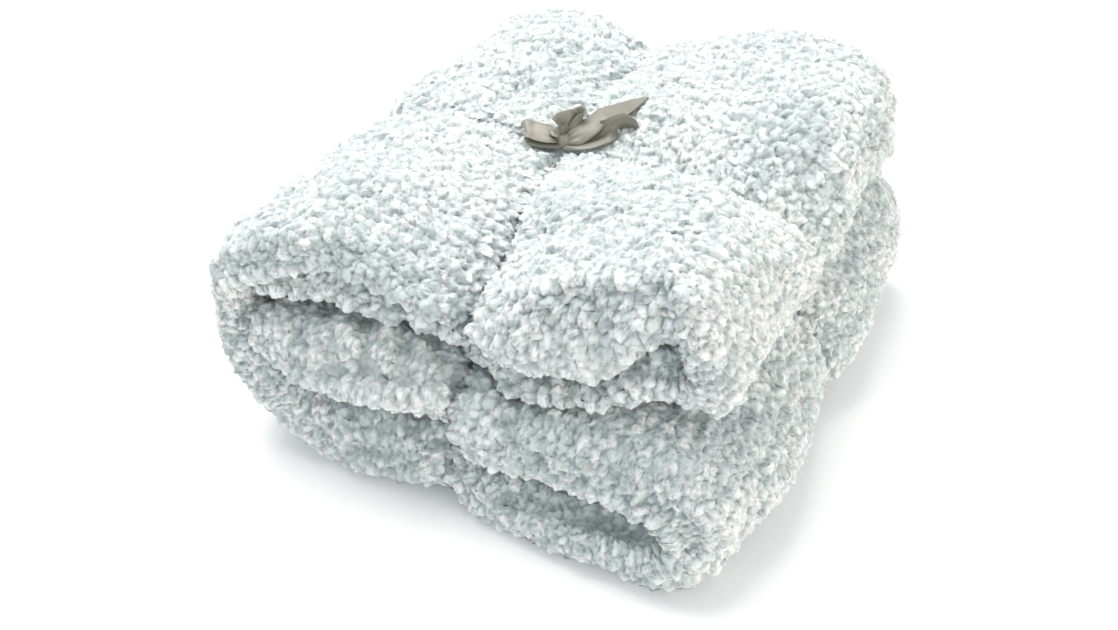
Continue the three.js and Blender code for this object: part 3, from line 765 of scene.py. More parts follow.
# Each crease is a soft trough, or a ridge where it rises: how much it rises, how wide it is, and its
# points, all in mm.
CREASES = [
    # Front left: the line between the two lobes under the lip, and the pleats that hang into it.
    (-8.5, 6.5, [(-86, -190, 98), (-64, -187, 107), (-52, -185, 102), (-30, -175, 103), (-14, -162, 98)]),
    (-8.0, 6.5, [(-80, -158, 120), (-66, -180, 111), (-66, -187, 106)]),
    (-8.0, 6.5, [(-49, -159, 127), (-46, -164, 114), (-41, -178, 109)]),
    (-5.0, 6.0, [(-93, -170, 120), (-87, -184, 112), (-90, -191, 98)]),
    (-6.0, 6.0, [(-33, -148, 115), (-26, -156, 111), (-23, -167, 103)]),
    (-5.0, 7.0, [(-113, -177, 116), (-109, -188, 106), (-109, -191, 88)]),
    (4.0, 9.0, [(-84, -166, 122), (-72, -184, 113)]),
    (5.0, 10.0, [(-66, -155, 119), (-52, -176, 111)]),
    (3.5, 8.0, [(-42, -153, 116), (-33, -169, 109)]),
    (4.0, 10.0, [(-105, -174, 113), (-99, -189, 101)]),
    (4.5, 10.0, [(-83, -187, 81), (-53, -187, 85), (-22, -178, 97)]),
    # Front left, low: the plies of the lowest layer.
    (-7.0, 6.0, [(-81, -186, 28), (-64, -187, 32), (-45, -186, 35), (-23, -173, 46)]),
    (-5.0, 5.5, [(-58, -187, 16), (-39, -186, 31), (-17, -178, 38)]),
    (-5.0, 7.0, [(-135, -190, 62), (-118, -191, 48), (-100, -188, 20)]),
    # Front right: the bend's edge, and the seam between its top and its front.
    (-5.5, 6.5, [(107, -150, 200), (113, -155, 189), (117, -154, 166), (119, -149, 143)]),
    (-3.5, 8.0, [(-5, -152, 146), (40, -164, 173), (67, -156, 181), (102, -157, 193)]),
    (2.5, 9.0, [(9, -167, 136), (49, -170, 149), (82, -163, 150)]),
    # Front right, low: the ply lines of C, and the pleats at its corner.
    (-7.0, 6.5, [(29, -184, 31), (51, -181, 35), (84, -178, 38), (110, -181, 39)]),
    (-6.5, 6.0, [(50, -189, 79), (62, -187, 72), (81, -188, 76)]),
    (-5.5, 6.0, [(28, -177, 93), (37, -186, 80), (41, -185, 66)]),
    (-7.0, 6.0, [(121, -180, 76), (130, -185, 74), (142, -184, 67), (150, -186, 49)]),
    (-6.0, 6.0, [(100, -184, 82), (102, -185, 72), (118, -185, 71)]),
    (-5.0, 7.0, [(145, -165, 85), (146, -135, 88), (153, -110, 92)]),
    # The right side: ply lines behind the ribbon, and slanting ribs before it.
    (-5.0, 6.0, [(172, 2, 67), (185, 23, 66), (192, 60, 64), (195, 100, 58)]),
    (-3.5, 5.5, [(171, 7, 72), (181, 21, 73), (188, 53, 72), (190, 82, 77)]),
    (-4.0, 6.0, [(179, -98, 69), (179, -66, 74), (171, -35, 87)]),
    (-4.0, 6.0, [(175, -116, 74), (173, -84, 83), (166, -51, 90)]),
    # The back left: its hem. The front left: the swelling over the lip.
    (-4.5, 6.0, [(-81, 38, 176), (-73, 61, 179), (-68, 101, 178), (-59, 125, 183)]),
    (-3.5, 8.0, [(-79, -166, 173), (-57, -163, 173), (-38, -162, 165), (-23, -155, 159)]),
    (-3.5, 8.0, [(-156, -183, 155), (-131, -180, 164), (-105, -175, 166)]),
]


LEAST_CREASE = 6.0  # mm wide, so that the skin's points can carry it
CREASE_PAINTED_SHADE = 50.0  # painted shade in the troughs and painted light on the ridges: how much the shade changes for each metre that a crease rises
RISE_STEPS = 8

# Patches of painted shade on the front, the low faces and the right lobe's slope: how far the shade falls, over what
# radius, and where, in mm.
PAINTED_SHADE_PATCHES = [
    (0.36, 28, (119, 36, 182)),
    (0.40, 22, (105, 4, 163)),
    (0.25, 26, (121, 68, 195)),
    (0.30, 26, (-139, -180, 162)),
    (0.30, 26, (-87, -170, 168)),
    (0.30, 22, (-37, -164, 161)),
    (0.16, 20, (50, -171, 162)),
    (0.16, 18, (87, -162, 158)),
    (0.36, 22, (44, -176, 95)),
    (0.36, 22, (88, -174, 96)),
    (0.34, 20, (124, -168, 98)),
    (0.06, 25, (-70, -176, 115)),
    (0.08, 20, (-38, -160, 114)),
    (0.10, 25, (-110, -186, 104)),
    (0.52, 28, (122, -192, 31)),
    (0.56, 28, (76, -190, 33)),
    (0.42, 34, (-60, -187, 45)),
]


def painted_shade(points):
    """How much the patches of painted shade darken each point."""
    fall = np.zeros(len(points))
    for strength, radius, centre in PAINTED_SHADE_PATCHES:
        gap = np.linalg.norm(points - np.array(centre) / 1000, axis=1) / (radius / 1000)
        fall += strength * np.exp(-(gap**2))
    return fall


def creases(points):
    """How much the creases raise each point."""
    rise = np.zeros(len(points))
    for height, width, line in CREASES:
        ends = np.array(line, float) / 1000
        gap = np.full(len(points), np.inf)
        for start, end in zip(ends[:-1], ends[1:]):
            way = end - start
            share = np.clip((points - start) @ way / (way @ way), 0, 1)
            gap = np.minimum(gap, np.linalg.norm(points - start - share[:, None] * way, axis=1))
        rise += height / 1000 * np.exp(-((gap / (max(width, LEAST_CREASE) / 1000)) ** 2))
    return rise


def crease(points, normals):
    """Moves points of the skin by the creases that the pile over them shows."""
    moved = points + normals * creases(points + normals * PILE)[:, None]
    moved[:, 2] = np.maximum(moved[:, 2], FLOOR_GAP)
    return moved


def moved_rise(points, normals):
    """The rise at points that the creases have already moved."""
    rise = np.zeros(len(points))
    for _ in range(RISE_STEPS):
        rise = creases(points - normals * rise[:, None])
    return rise


def raise_pile(base, normals, places, tufts):
    """Lifts points of the skin onto the tufts nearest them."""
    tree = KDTree(len(places["place"]))
    for k, place in enumerate(places["place"]):
        tree.insert(place, k)
    tree.balance()
    near = np.array([[found[1] for found in tree.find_n(point, NEAREST)] for point in base])
    warped = base + sum(smooth_noise(base, length, np.random.default_rng(seed)) for length, seed in WARPS) * WARP
    value = np.empty(near.shape)
    tuft_drop = TUFT_DROP * (1 + SIDE_RELIEF * (1 - np.clip(normals[:, 2], 0, 1)))
    for column, k in enumerate(near.T):
        rel = warped - places["place"][k]
        along = dot(rel, tufts["long_way"][k]) / tufts["stretch"][k]
        across = dot(rel, tufts["short_way"][k]) * tufts["stretch"][k]
        distance = np.sqrt(along**2 + across**2 + dot(rel, places["normal"][k]) ** 2)
        value[:, column] = tufts["height"][k] - tuft_drop * (distance / (TUFT_SPACING / 2)) ** DROP_POWER
        value[dot(normals, places["normal"][k]) < SAME_SIDE, column] = -1
    best = value.max(1, keepdims=True)
    k = near[np.arange(len(near)), value.argmax(1)]
    rel = base - places["place"][k]
    along, across = dot(rel, tufts["long_way"][k]), dot(rel, tufts["short_way"][k])
    strand = np.stack([along, across + tufts["bend"][k] * along**2, k % STRAND_COUNT * STRAND_APART], -1)
    share = np.exp((value - best) * SHARPNESS)
    total = share.sum(1, keepdims=True)
    height = best[:, 0] + np.log(total[:, 0]) / SHARPNESS
    share /= total
    tuft_height, shade = ((share * tufts[key][near]).sum(1) for key in ("height", "shade"))
    lean = (share[..., None] * tufts["lean"][near]).sum(1)
    tip = np.clip(1 - (tuft_height - height) / (tuft_drop * TIP_REACH), 0, 1)
    ranked = np.sort(value, axis=1)
    solid = smoothstep((ranked[:, -1] - ranked[:, -2]) / CRACK)
    height -= CRACK_DEPTH * (1 - solid)
    height = np.maximum(height + CURL * noise_value(base, *CURLS), LEAST_PILE)
    bare = bare_width(base)
    pressed = np.where(bare > 0, smoothstep((ribbon_distance(base) - bare) / BARE_EDGE), 1.0)
    height = lerp(np.minimum(height, PRESSED_PILE), height, pressed)
    lifted = base + normals * height[:, None] + lean * (tip * height * pressed)[:, None]
    lifted += RNG.normal(size=lifted.shape) * ROUGH
    lifted[:, 2] = np.maximum(lifted[:, 2], FLOOR_GAP)
    return dict(point=lifted, tip=tip, solid=solid, shade=shade, strand=strand)


def fine_parts(gaps, shown):
    """How many fine quads each row of the skin's quads is divided into."""
    return np.array(
        [max(1, round(np.median(gap[seen]) / FINE)) if seen.any() else 1 for gap, seen in zip(gaps, shown)]
    )


class FineGrid:
    """The shown quads of the skin, each divided into fine quads."""

    def __init__(self, grid, shown):
        self.rows, self.columns = grid.shape[:2]
        self.i, self.j = np.nonzero(shown)
        self.number = np.full(shown.shape, -1)
        self.number[self.i, self.j] = np.arange(len(self.i))
        column_gap = np.linalg.norm(np.roll(grid, -1, 1) - grid, axis=2)[:-1]
        self.row_parts = fine_parts(np.linalg.norm(np.diff(grid, axis=0), axis=2), shown)
        self.column_parts = fine_parts(column_gap.T, shown.T)
        self.row_start = np.cumsum([0, *self.row_parts])
        self.column_start = np.cumsum([0, *self.column_parts])
        self.around = self.column_start[-1]

        # every fine quad: the skin's quad that owns it, its place in that, and its corners
        self.parts = np.stack([self.row_parts[self.i], self.column_parts[self.j]], -1)
        sizes = self.parts.prod(1)
        self.owner = np.repeat(np.arange(len(sizes)), sizes)
        inside = np.arange(sizes.sum()) - np.repeat(np.cumsum(sizes) - sizes, sizes)
        self.step = np.stack(np.divmod(inside, self.parts[self.owner, 1]), -1)
        start = np.stack([self.row_start[self.i], self.column_start[self.j]], -1)
        corners = (start[self.owner] + self.step)[:, None] + SQUARE
        ids = corners[..., 0] * self.around + corners[..., 1] % self.around
        self.points, quads = np.unique(ids, return_inverse=True)
        self.quads = quads.reshape(-1, 4)

    def between(self, values):
        """The skin's values at every fine point."""
        fine_i, fine_j = np.divmod(self.points, self.around)
        i = np.minimum(np.searchsorted(self.row_start, fine_i, "right") - 1, self.rows - 2)
        j = np.minimum(np.searchsorted(self.column_start, fine_j, "right") - 1, self.columns - 1)
        s = ((fine_i - self.row_start[i]) / self.row_parts[i])[:, None]
        t = ((fine_j - self.column_start[j]) / self.column_parts[j])[:, None]
        right = (j + 1) % self.columns
        near = values[i, j] * (1 - s) + values[i + 1, j] * s
        far = values[i, right] * (1 - s) + values[i + 1, right] * s
        return near * (1 - t) + far * t

    def neighbours(self, k):
        """The numbers of the four quads beside a shown quad, and -1 for those that aren't shown."""
        i, j = self.i[k], self.j[k]
        beside = [(i, j - 1), (i + 1, j), (i, j + 1), (i - 1, j)]
        return [self.number[a, b % self.columns] if 0 <= a < self.rows - 1 else -1 for a, b in beside]

    def side_points(self, k, side):
        """The numbers of the fine points along one of a quad's four sides."""
        i = self.row_start[self.i[k]] + np.arange(self.parts[k, 0] + 1)
        j = (self.column_start[self.j[k]] + np.arange(self.parts[k, 1] + 1)) % self.around
        i, j = ((i, j[0]), (i[-1], j), (i[::-1], j[-1]), (i[0], j[::-1]))[side]
        return np.searchsorted(self.points, i * self.around + j)


def smooth_normals(points, quads):
    """Normals over the whole pile, so that its pieces meet without a seam."""
    corners = points[quads]
    face_normal = np.cross(corners[:, 2] - corners[:, 0], corners[:, 3] - corners[:, 1])
    total = np.zeros_like(points)
    for column, axis in itertools.product(range(4), range(3)):
        total[:, axis] += np.bincount(quads[:, column], face_normal[:, axis], len(points))
    return total / np.maximum(np.linalg.norm(total, axis=1, keepdims=True), 1e-12)


def build_pile(skin, skin_flat, blockers):
    """The pile in pieces, each a closed layer: tufts outside, and the coarse skin inside."""
    grid = read_points(skin.data.vertices, "co").reshape(skin_flat.shape)
    normals = read_points(skin.data.vertex_normals, "vector").reshape(skin_flat.shape)
    places, tree, seen = tuft_places(skin, grid, normals)
    tufts = make_tufts(places, [tree, *blockers])
    fine = FineGrid(grid, seen.reshape(len(grid) - 1, -1) > LEAST_SEEN)
    normal = unit(fine.between(normals))
    base = crease(settle(lay_uneven(squeeze(fine.between(skin_flat)))) + AXES, normal)
    pile = raise_pile(base, normal, places, tufts)
    for k in range(len(fine.i)):
        for side, other in enumerate(fine.neighbours(k)):
            if other < 0:  # the edge of the shown part goes down to the skin
                line = fine.side_points(k, side)
                pile["point"][line] = base[line]
    pile["normal"] = smooth_normals(pile["point"], fine.quads)
    fuzz = build_fuzz(pile)
    region = pile_regions(grid, normals, fine)
    return [fuzz, *(pile_piece(name, region, fine, pile, grid, normals) for name in sorted(set(region)))]


def build_fuzz(pile):
    """Loose fibres: thin closed spikes that stand out of the tufts."""
    high = np.flatnonzero((pile["tip"] > FUZZ_TIP) & (pile["point"][:, 2] > FUZZ_ABOVE))
    root = RNG.choice(high, FIBRES, replace=False)
    normal = pile["normal"][root]
    place = pile["point"][root] - normal * FIBRE_ROOT
    comb = smooth_noise(place, COMB_LENGTH, np.random.default_rng(14))
    direction = normal * RNG.uniform(*FIBRE_RISE, (FIBRES, 1)) + FIBRE_COMB * comb
    direction = unit(direction + FIBRE_RANDOM * RNG.normal(size=(FIBRES, 3)))
    length = RNG.uniform(*FIBRE_LENGTH, (FIBRES, 1))
    side, other = frames_about(direction)
    thick = RNG.uniform(*FIBRE_WIDTH, (FIBRES, 1))
    angles = np.arange(3) * math.tau / 3
    points = [place + (side * math.cos(angle) + other * math.sin(angle)) * thick for angle in angles]
    points = np.stack([*points, place + direction * length], 1)
    points[..., 2] = np.maximum(points[..., 2], FLOOR_GAP)
    faces = np.array([(0, 2, 1), (0, 1, 3), (1, 2, 3), (2, 0, 3)])
    fuzz = mesh_object("fleece_fuzz", points, (faces + 4 * np.arange(FIBRES)[:, None, None]).reshape(-1, 3).tolist())
    count = FIBRES * len(faces)
    cells = math.ceil(math.sqrt(count))
    corner = np.stack(np.divmod(np.arange(count), cells)[::-1], -1)[:, None]
    add_uv(fuzz, (corner + [(0.1, 0.1), (0.8, 0.1), (0.1, 0.8)]) / cells)
    add_values(fuzz, "tip", np.ones(FIBRES * 4))
    add_values(fuzz, "solid", np.ones(FIBRES * 4))
    add_values(fuzz, "shade", np.repeat(pile["shade"][root], 4))
    return fuzz


def pile_regions(grid, normals, fine):
    """The name of the piece that each shown quad belongs to."""
    i, j = fine.i, fine.j
    middle = (grid[i, j, 0] + grid[i + 1, (j + 1) % fine.columns, 0]) / 2
    x, y, z = normals[i, j].T
    on_end = np.where(y < 0, "fleece_front", "fleece_back")
    on_side = np.where(x > 0, "fleece_right", "fleece_left")
    on_top = np.where(middle < AXES[0] + RIBBON_X, "fleece_top_left", "fleece_top_right")
    return np.where(z < STEEP, np.where(np.abs(x) > FACING_SIDE, on_side, on_end), on_top)


def pile_piece(name, region, fine, pile, grid, normals):
    """A closed layer: the fine quads outside, the skin's quads turned round inside, and walls between."""
    columns = fine.columns
    chosen = np.flatnonzero(region == name)
    mine = np.isin(fine.owner, chosen)
    used, faces = np.unique(fine.quads[mine], return_inverse=True)
    i, j = fine.i[chosen], fine.j[chosen]
    right = (j + 1) % columns
    inner_ids = np.stack([i * columns + j, i * columns + right, (i + 1) * columns + right, (i + 1) * columns + j], -1)
    inner_used, inner_faces = np.unique(inner_ids, return_inverse=True)
    inner_faces = inner_faces.reshape(-1, 4) + len(used)
    inner_normals = normals.reshape(-1, 3)[inner_used]
    inner = grid.reshape(-1, 3)[inner_used] - inner_normals * INNER_DROP
    inner[:, 2] = np.maximum(inner[:, 2], FLOOR_GAP)
    walls = []
    for k, inside in zip(chosen, inner_faces.tolist()):
        for side, other in enumerate(fine.neighbours(k)):
            if other < 0 or region[other] != name:
                line = np.searchsorted(used, fine.side_points(k, side))
                walls.append([*line[::-1].tolist(), inside[-side], inside[-side - 1]])

    # the bake's map: a tile for each of the skin's quads, then small ones for the inner side and the walls
    owner = fine.owner[mine]
    tiles = math.ceil(math.sqrt(len(chosen)))
    corner = np.stack(np.divmod(np.searchsorted(chosen, owner), tiles)[::-1], -1)[:, None]
    within = (fine.step[mine][:, None] + SQUARE) / fine.parts[owner][:, None]
    outer_map = (corner + TILE_EDGE + (1 - 2 * TILE_EDGE) * within) / tiles * [1, OUTER_BAND]
    small = math.ceil((len(inner_faces) + len(walls)) / SMALL_ROWS)
    small_size = [1 / small, (SMALL_BAND[1] - SMALL_BAND[0]) / SMALL_ROWS]
    slot = np.stack(np.divmod(np.arange(small * SMALL_ROWS), small)[::-1], -1)[:, None]
    square = [(0.1, 0.1), (0.1, 0.9), (0.9, 0.9), (0.9, 0.1)]
    small_maps = [slot[: len(inner_faces)] + square]
    for number, wall in enumerate(walls, len(inner_faces)):
        line = [(u, 0.9) for u in np.linspace(0.9, 0.1, len(wall) - 2)]
        small_maps.append(slot[number] + [*line, (0.1, 0.1), (0.9, 0.1)])
    small_map = np.concatenate([part.reshape(-1, 2) for part in small_maps]) * small_size + [0, SMALL_BAND[0]]

    vertices = np.concatenate([pile["point"][used], inner])
    piece = mesh_object(name, vertices, [*faces.reshape(-1, 4).tolist(), *inner_faces.tolist(), *walls])
    add_uv(piece, np.concatenate([outer_map.reshape(-1, 2), small_map]))
    for key, inside in (("tip", 0), ("solid", 0), ("shade", 0.5)):
        add_values(piece, key, np.concatenate([pile[key][used], np.full(len(inner), inside)]))
    add_values(piece, "strand", np.concatenate([pile["strand"][used], np.zeros_like(inner)]))
    outward = np.concatenate([pile["normal"][used], -inner_normals])
    piece.data.normals_split_custom_set_from_vertices(outward.tolist())
    return piece


# ---- The ribbon ----

RIBBON_WIDTH = 0.016
RIBBON_THICKNESS = 0.0005
GATHERED_WIDTH = 0.008
PLEATS = 3
PLEAT_HEIGHT = 0.0011
TURN_SINK = 0.006  # how far a gathered turn lies under the pile's tips at the knot
TURN_DEPTH = 0.022
NEAR_KNOT = (0.015, 0.045)
TURN_SPACING = 0.008
TURN_THICKNESS_SHARE = 0.6
BOW_STEPS, BOW_ACROSS = 60, 13
KNOT_SIZE = np.array([0.008, 0.010, 0.010])
KNOT_PINCH = 0.55
PINCH_RATE = 4
GATHER_SHARE = 0.8
KNOT_CENTRE = np.array([-0.01897, 0.00409, 0.1722])
FRAME_STEP = 0.02
LEAST_GAP = 1e-4

# Each row leads the ribbon's middle line away from the knot: x, y and z in mm, then the direction
# of its width seen from above and its rise, in degrees.
LEFT_LOOP = [
    (-1, 0, 1, 100, 20),
    (-6, -1, 2, 110, 18),
    (-13, -2, 3.5, 120, 17),
    (-20, -3, 4.5, 128, 17),
    (-25, -4, 5.5, 130, 17),
    (-27, -5, 3.5, 130, 17),
    (-24, -4, 0.5, 130, 17),
    (-12, -2, -2, 115, 12),
    (-1, 0, -2, 95, 10),
]
BACK_LOOP = [
    (-0.5, 0, 1, 100, 35),
    (-2.5, 0.5, 5, 110, 55),
    (-5.4, 1.8, 9.5, 116, 78),
    (0, 8.9, 10.7, 120, 84),
    (1.1, 12.8, 7.5, 118, 84),
    (3.4, 17.3, 7.5, 116, 82),
    (4.8, 18.5, 9.6, 110, 80),
    (6.8, 16.7, 8.6, 100, 78),
    (5, 10.3, 4, 90, 60),
    (2.9, 5.3, 1, 90, 40),
    (0, 0.5, 0, 90, 30),
]
LONG_TAIL = [
    (0, 0, 0, 124, 30),
    (7, 6, 3, 128, 28),
    (14, 13, 7.5, 130, 20),
    (19, 23, 13, 132, 3),
    (26, 31, 13.5, 132, 0),
    (35, 40, 13.5, 130, 5),
    (44, 47, 14, 130, 8),
]
SHORT_TAIL = [
    (0, -1, -2, 115, 8),
    (8, 2, -1.5, 117, 4),
    (18, 7, 1, 118, 8),
    (24, 13, 4.5, 118, 35),
    (28, 18, 9.5, 118, 100),
    (34, 23, 12, 118, 115),
    (41, 25, 11, 118, 105),
    (50, 23.5, 10, 118, 80),
]
LONG_TAIL_CUT = (0.7, 1.0)  # how far each edge reaches, as a share of the table
SHORT_TAIL_CUT = (1.0, 0.7)


def curve_value(values, share):
    """A centripetal Catmull-Rom curve through single values."""
    place = np.clip(share, 0, 1) * (len(values) - 1)
    k = min(int(place), len(values) - 2)
    t = place - k
    v = [2 * values[0] - values[1], *values, 2 * values[-1] - values[-2]]
    p0, p1, p2, p3 = v[k : k + 4]
    d0, d1, d2 = (math.sqrt(abs(b - a)) for a, b in ((p0, p1), (p1, p2), (p2, p3)))
    d1 = d1 if d1 > LEAST_GAP else 1.0
    d0, d2 = (d if d > LEAST_GAP else d1 for d in (d0, d2))
    m1 = ((p1 - p0) / d0 - (p2 - p0) / (d0 + d1) + (p2 - p1) / d1) * d1
    m2 = ((p2 - p1) / d1 - (p3 - p1) / (d1 + d2) + (p3 - p2) / d2) * d1
    return p1 + m1 * t + (3 * (p2 - p1) - 2 * m1 - m2) * t**2 + (2 * (p1 - p2) + m1 + m2) * t**3


def ribbon_frame(table, share):
    columns = list(zip(*table))

    def middle(t):
        return np.array([curve_value(columns[k], t) for k in range(3)]) / 1000

    turn_angle, tilt_angle = (math.radians(curve_value(columns[k], share)) for k in (3, 4))
    along = unit(middle(min(share + FRAME_STEP, 1)) - middle(max(share - FRAME_STEP, 0)))
    across = np.array(
        [math.cos(turn_angle) * math.cos(tilt_angle), math.sin(turn_angle) * math.cos(tilt_angle), math.sin(tilt_angle)]
    )
    across = unit(across - along * (across @ along))
    return middle(share), across, np.cross(along, across)


def thin_sheet(name, middle, up, thickness):
    """A closed sheet about a grid of points."""
    return closed_grid(name, np.concatenate([middle + up * thickness / 2, (middle - up * thickness / 2)[:, ::-1]], 1))


def midline_length(points):
    return float(np.linalg.norm(np.diff(points, axis=0), axis=1).sum())


def bow_stretch(name, table, held, shape, cut=None):
    """A stretch of ribbon from the knot. A tail ends in a slant cut, and a loop comes back."""
    sides = np.linspace(-1, 1, BOW_ACROSS)
    rows, ups = [], []
    for share in np.arange(BOW_STEPS + 1) / BOW_STEPS:
        from_knot = share if cut else min(share, 1 - share)
        width = RIBBON_WIDTH * lerp(KNOT_PINCH, 1, smoothstep(from_knot * PINCH_RATE))
        gather = 1 - smoothstep(from_knot * PINCH_RATE * GATHER_SHARE)
        for side in sides:
            reach = lerp(cut[0], cut[1], (side + 1) / 2) if cut else 1
            centre, across, up = ribbon_frame(table, share * reach)
            rise = PLEAT_HEIGHT * gather * math.cos(side * PLEATS * math.pi) + shape(side, share)
            rows.append(KNOT_CENTRE + centre + across * side * width / 2 + up * rise)
            ups.append(up)
    rows, ups = (np.array(values).reshape(BOW_STEPS + 1, len(sides), 3) for values in (rows, ups))
    piece = thin_sheet(name, rows, ups, RIBBON_THICKNESS)
    return piece, held, (RIBBON_WIDTH, midline_length(rows[:, len(sides) // 2]))


def convex_outline(points):
    """The convex hull of points in a plane, anticlockwise."""
    ordered = sorted(map(tuple, points.tolist()))

    def half(sequence):
        kept = []
        for p in sequence:
            while len(kept) > 1:
                (ax, ay), (bx, by) = kept[-2:]
                if (bx - ax) * (p[1] - ay) - (by - ay) * (p[0] - ax) > 0:
                    break
                kept.pop()
            kept.append(p)
        return kept[:-1]

    return np.array(half(ordered) + half(ordered[::-1]))


def even_loop(corners, spacing):
    closed = np.concatenate([corners, corners[:1]])
    lengths = np.concatenate([[0], np.cumsum(np.linalg.norm(np.diff(closed, axis=0), axis=1))])
    count = int(lengths[-1] / spacing)
    at = np.linspace(0, lengths[-1], count, endpoint=False)
    loop = np.stack([np.interp(at, lengths, closed[:, k]) for k in range(2)], -1)
    for _ in range(3):
        loop = (np.roll(loop, 1, 0) + 2 * loop + np.roll(loop, -1, 0)) / 4
    return loop


def gathered_turn(name, axis):
    """A turn of the ribbon round the bundle, gathered to a narrow band of pleats."""
    points = squeeze(flat_points(0)[0]).reshape(-1, 3)
    across_axis, line = (1, RIBBON_Y) if axis == 0 else (0, RIBBON_X)
    near = points[np.abs(points[:, across_axis] - line) < LIFT_FLAT]
    loop = even_loop(convex_outline(near[:, [axis, 2]]), TURN_SPACING)
    ahead = unit(np.roll(loop, -1, 0) - np.roll(loop, 1, 0))
    outward = np.stack([ahead[:, 1], -ahead[:, 0]], -1)
    from_knot = np.hypot(loop[:, 0] - (KNOT_CENTRE - AXES)[axis], loop[:, 1] - KNOT_CENTRE[2])
    sunk = lerp(TURN_SINK, TURN_DEPTH, smoothstep((from_knot - NEAR_KNOT[0]) / NEAR_KNOT[1]))
    loop = loop - outward * sunk[:, None]
    closed, out = (np.concatenate([values, values[:1]]) for values in (loop, outward))
    sides = np.linspace(-1, 1, 6 * PLEATS + 1)
    offsets = PLEAT_HEIGHT * np.cos(sides * PLEATS * math.pi)
    middle = np.zeros((len(closed), len(sides), 3))
    up = np.zeros_like(middle)
    for number, place in enumerate((axis, 2)):
        middle[..., place] = closed[:, number, None] + out[:, number, None] * offsets
        up[..., place] = out[:, number, None]
    middle[..., across_axis] = line + sides * GATHERED_WIDTH / 2
    up[..., across_axis] = -np.gradient(offsets, sides * GATHERED_WIDTH / 2)
    piece = thin_sheet(name, drift(middle) + AXES, unit(up), RIBBON_THICKNESS * TURN_THICKNESS_SHARE)
    return piece, "gathered", (RIBBON_WIDTH, midline_length(closed))


def build_knot():
    """The ribbon pulled over itself: a small pinched wad with creases from top to bottom."""
    rows, columns = 25, 48
    polar = np.linspace(0, np.pi, rows)[:, None]
    angle = np.linspace(0, 2 * np.pi, columns, endpoint=False)[None, :]
    creased = 1 + 0.07 * np.cos(5 * angle + 1.3 * np.sin(polar)) * np.sin(polar) ** 2
    creased -= 0.12 * np.exp(-(((angle - 4.9) / 0.22) ** 2)) * np.sin(polar)
    ways = [np.sin(polar) * np.cos(angle) * creased, np.sin(polar) * np.sin(angle) * creased]
    points = np.stack([*ways, np.broadcast_to(np.cos(polar), creased.shape)], -1) * KNOT_SIZE / 2
    vertices = np.concatenate([points[1:-1].reshape(-1, 3), points[0, :1], points[-1, :1]]) + KNOT_CENTRE
    sides = grid_faces(rows - 2, columns)
    ring = np.arange(columns)
    after = np.roll(ring, -1)
    last = (rows - 3) * columns
    top = np.stack([np.full(columns, len(vertices) - 2), ring, after], -1)
    bottom = np.stack([np.full(columns, len(vertices) - 1), last + after, last + ring], -1)
    knot = mesh_object("bow_knot", vertices, [*sides.tolist(), *top.tolist(), *bottom.tolist()])
    maps = [
        np.stack(np.divmod(sides[:, 0], columns)[::-1], -1)[:, None] + [(0, 1), (0, 2), (1, 2), (1, 1)],
        np.stack([ring, 0 * ring], -1)[:, None] + [(0.5, 0), (0, 1), (1, 1)],
        np.stack([ring, 0 * ring + rows], -1)[:, None] + [(0.5, 0), (1, -1), (0, -1)],
    ]
    add_uv(knot, np.concatenate([part.reshape(-1, 2) for part in maps]) / [columns, rows])
    return knot


def long_tail_shape(side, share):
    return 0.0009 * math.sin(3.4 * share + 0.6) * (1 - side**2) + 0.0004 * side * math.sin(9 * share)


def short_tail_shape(side, share):
    return -0.0016 * math.exp(-((side / 0.25) ** 2)) * float(smoothstep((share - 0.15) * 3))


def loop_shape(side, share):
    return 0.0008 * math.sin(math.pi * share) * (1 - side**2)


# ---- Materials ----

class Nodes:
    """A short way to write a material's nodes."""

    def __init__(self, name):
        self.material = bpy.data.materials.new(name)
        self.material.use_nodes = True
        self.tree = self.material.node_tree
        self.shader = self.tree.nodes["Principled BSDF"]

    def add(self, kind, inputs=None, **settings):
        node = self.tree.nodes.new(kind)
        for key, value in settings.items():
            setattr(node, key, value)
        for key, value in (inputs or {}).items():
            self.set(node.inputs[key], value)
        return node

    def set(self, socket, value):
        if isinstance(value, bpy.types.NodeSocket):
            self.tree.links.new(value, socket)
        else:
            socket.default_value = value

    def shade(self, **inputs):
        for key, value in inputs.items():
            self.set(self.shader.inputs[key.replace("_", " ")], value)

    def noise(self, scale, detail=2.0, place=None, output="Fac"):
        place = place or self.add("ShaderNodeTexCoord").outputs["Object"]
        return self.add("ShaderNodeTexNoise", {"Vector": place, "Scale": scale, "Detail": detail}).outputs[output]

    def vector_math(self, operation, *values):
        return self.add("ShaderNodeVectorMath", dict(enumerate(values)), operation=operation).outputs["Vector"]

    def ramp(self, value, stops):
        node = self.add("ShaderNodeValToRGB", {"Fac": value})
        elements = node.color_ramp.elements
        for number, (place, colour) in enumerate(stops):
            element = elements[number] if number < 2 else elements.new(place)
            element.position = place
            element.color = (*colour, 1)
        return node.outputs["Color"]

    def mix(self, share, first, second, blend="MIX"):
        node = self.add("ShaderNodeMix", data_type="RGBA", blend_type=blend)
        for socket, value in zip((node.inputs[0], node.inputs[6], node.inputs[7]), (share, first, second)):
            self.set(socket, (*value, 1) if isinstance(value, tuple) else value)
        return node.outputs[2]

    def attribute(self, name):
        return self.add("ShaderNodeAttribute", attribute_name=name).outputs["Fac"]

    def math(self, operation, *values):
        return self.add("ShaderNodeMath", dict(enumerate(values)), operation=operation).outputs[0]

    def range(self, value, low, high, to_low=0.0, to_high=1.0):
        node = self.add(
            "ShaderNodeMapRange",
            {"Value": value, "From Min": low, "From Max": high, "To Min": to_low, "To Max": to_high},
            interpolation_type="SMOOTHSTEP",
        )
        return node.outputs["Result"]

    def bump(self, height, strength, distance):
        node = self.add("ShaderNodeBump", {"Height": height, "Strength": strength, "Distance": distance})
        self.set(self.shader.inputs["Normal"], node.outputs["Normal"])


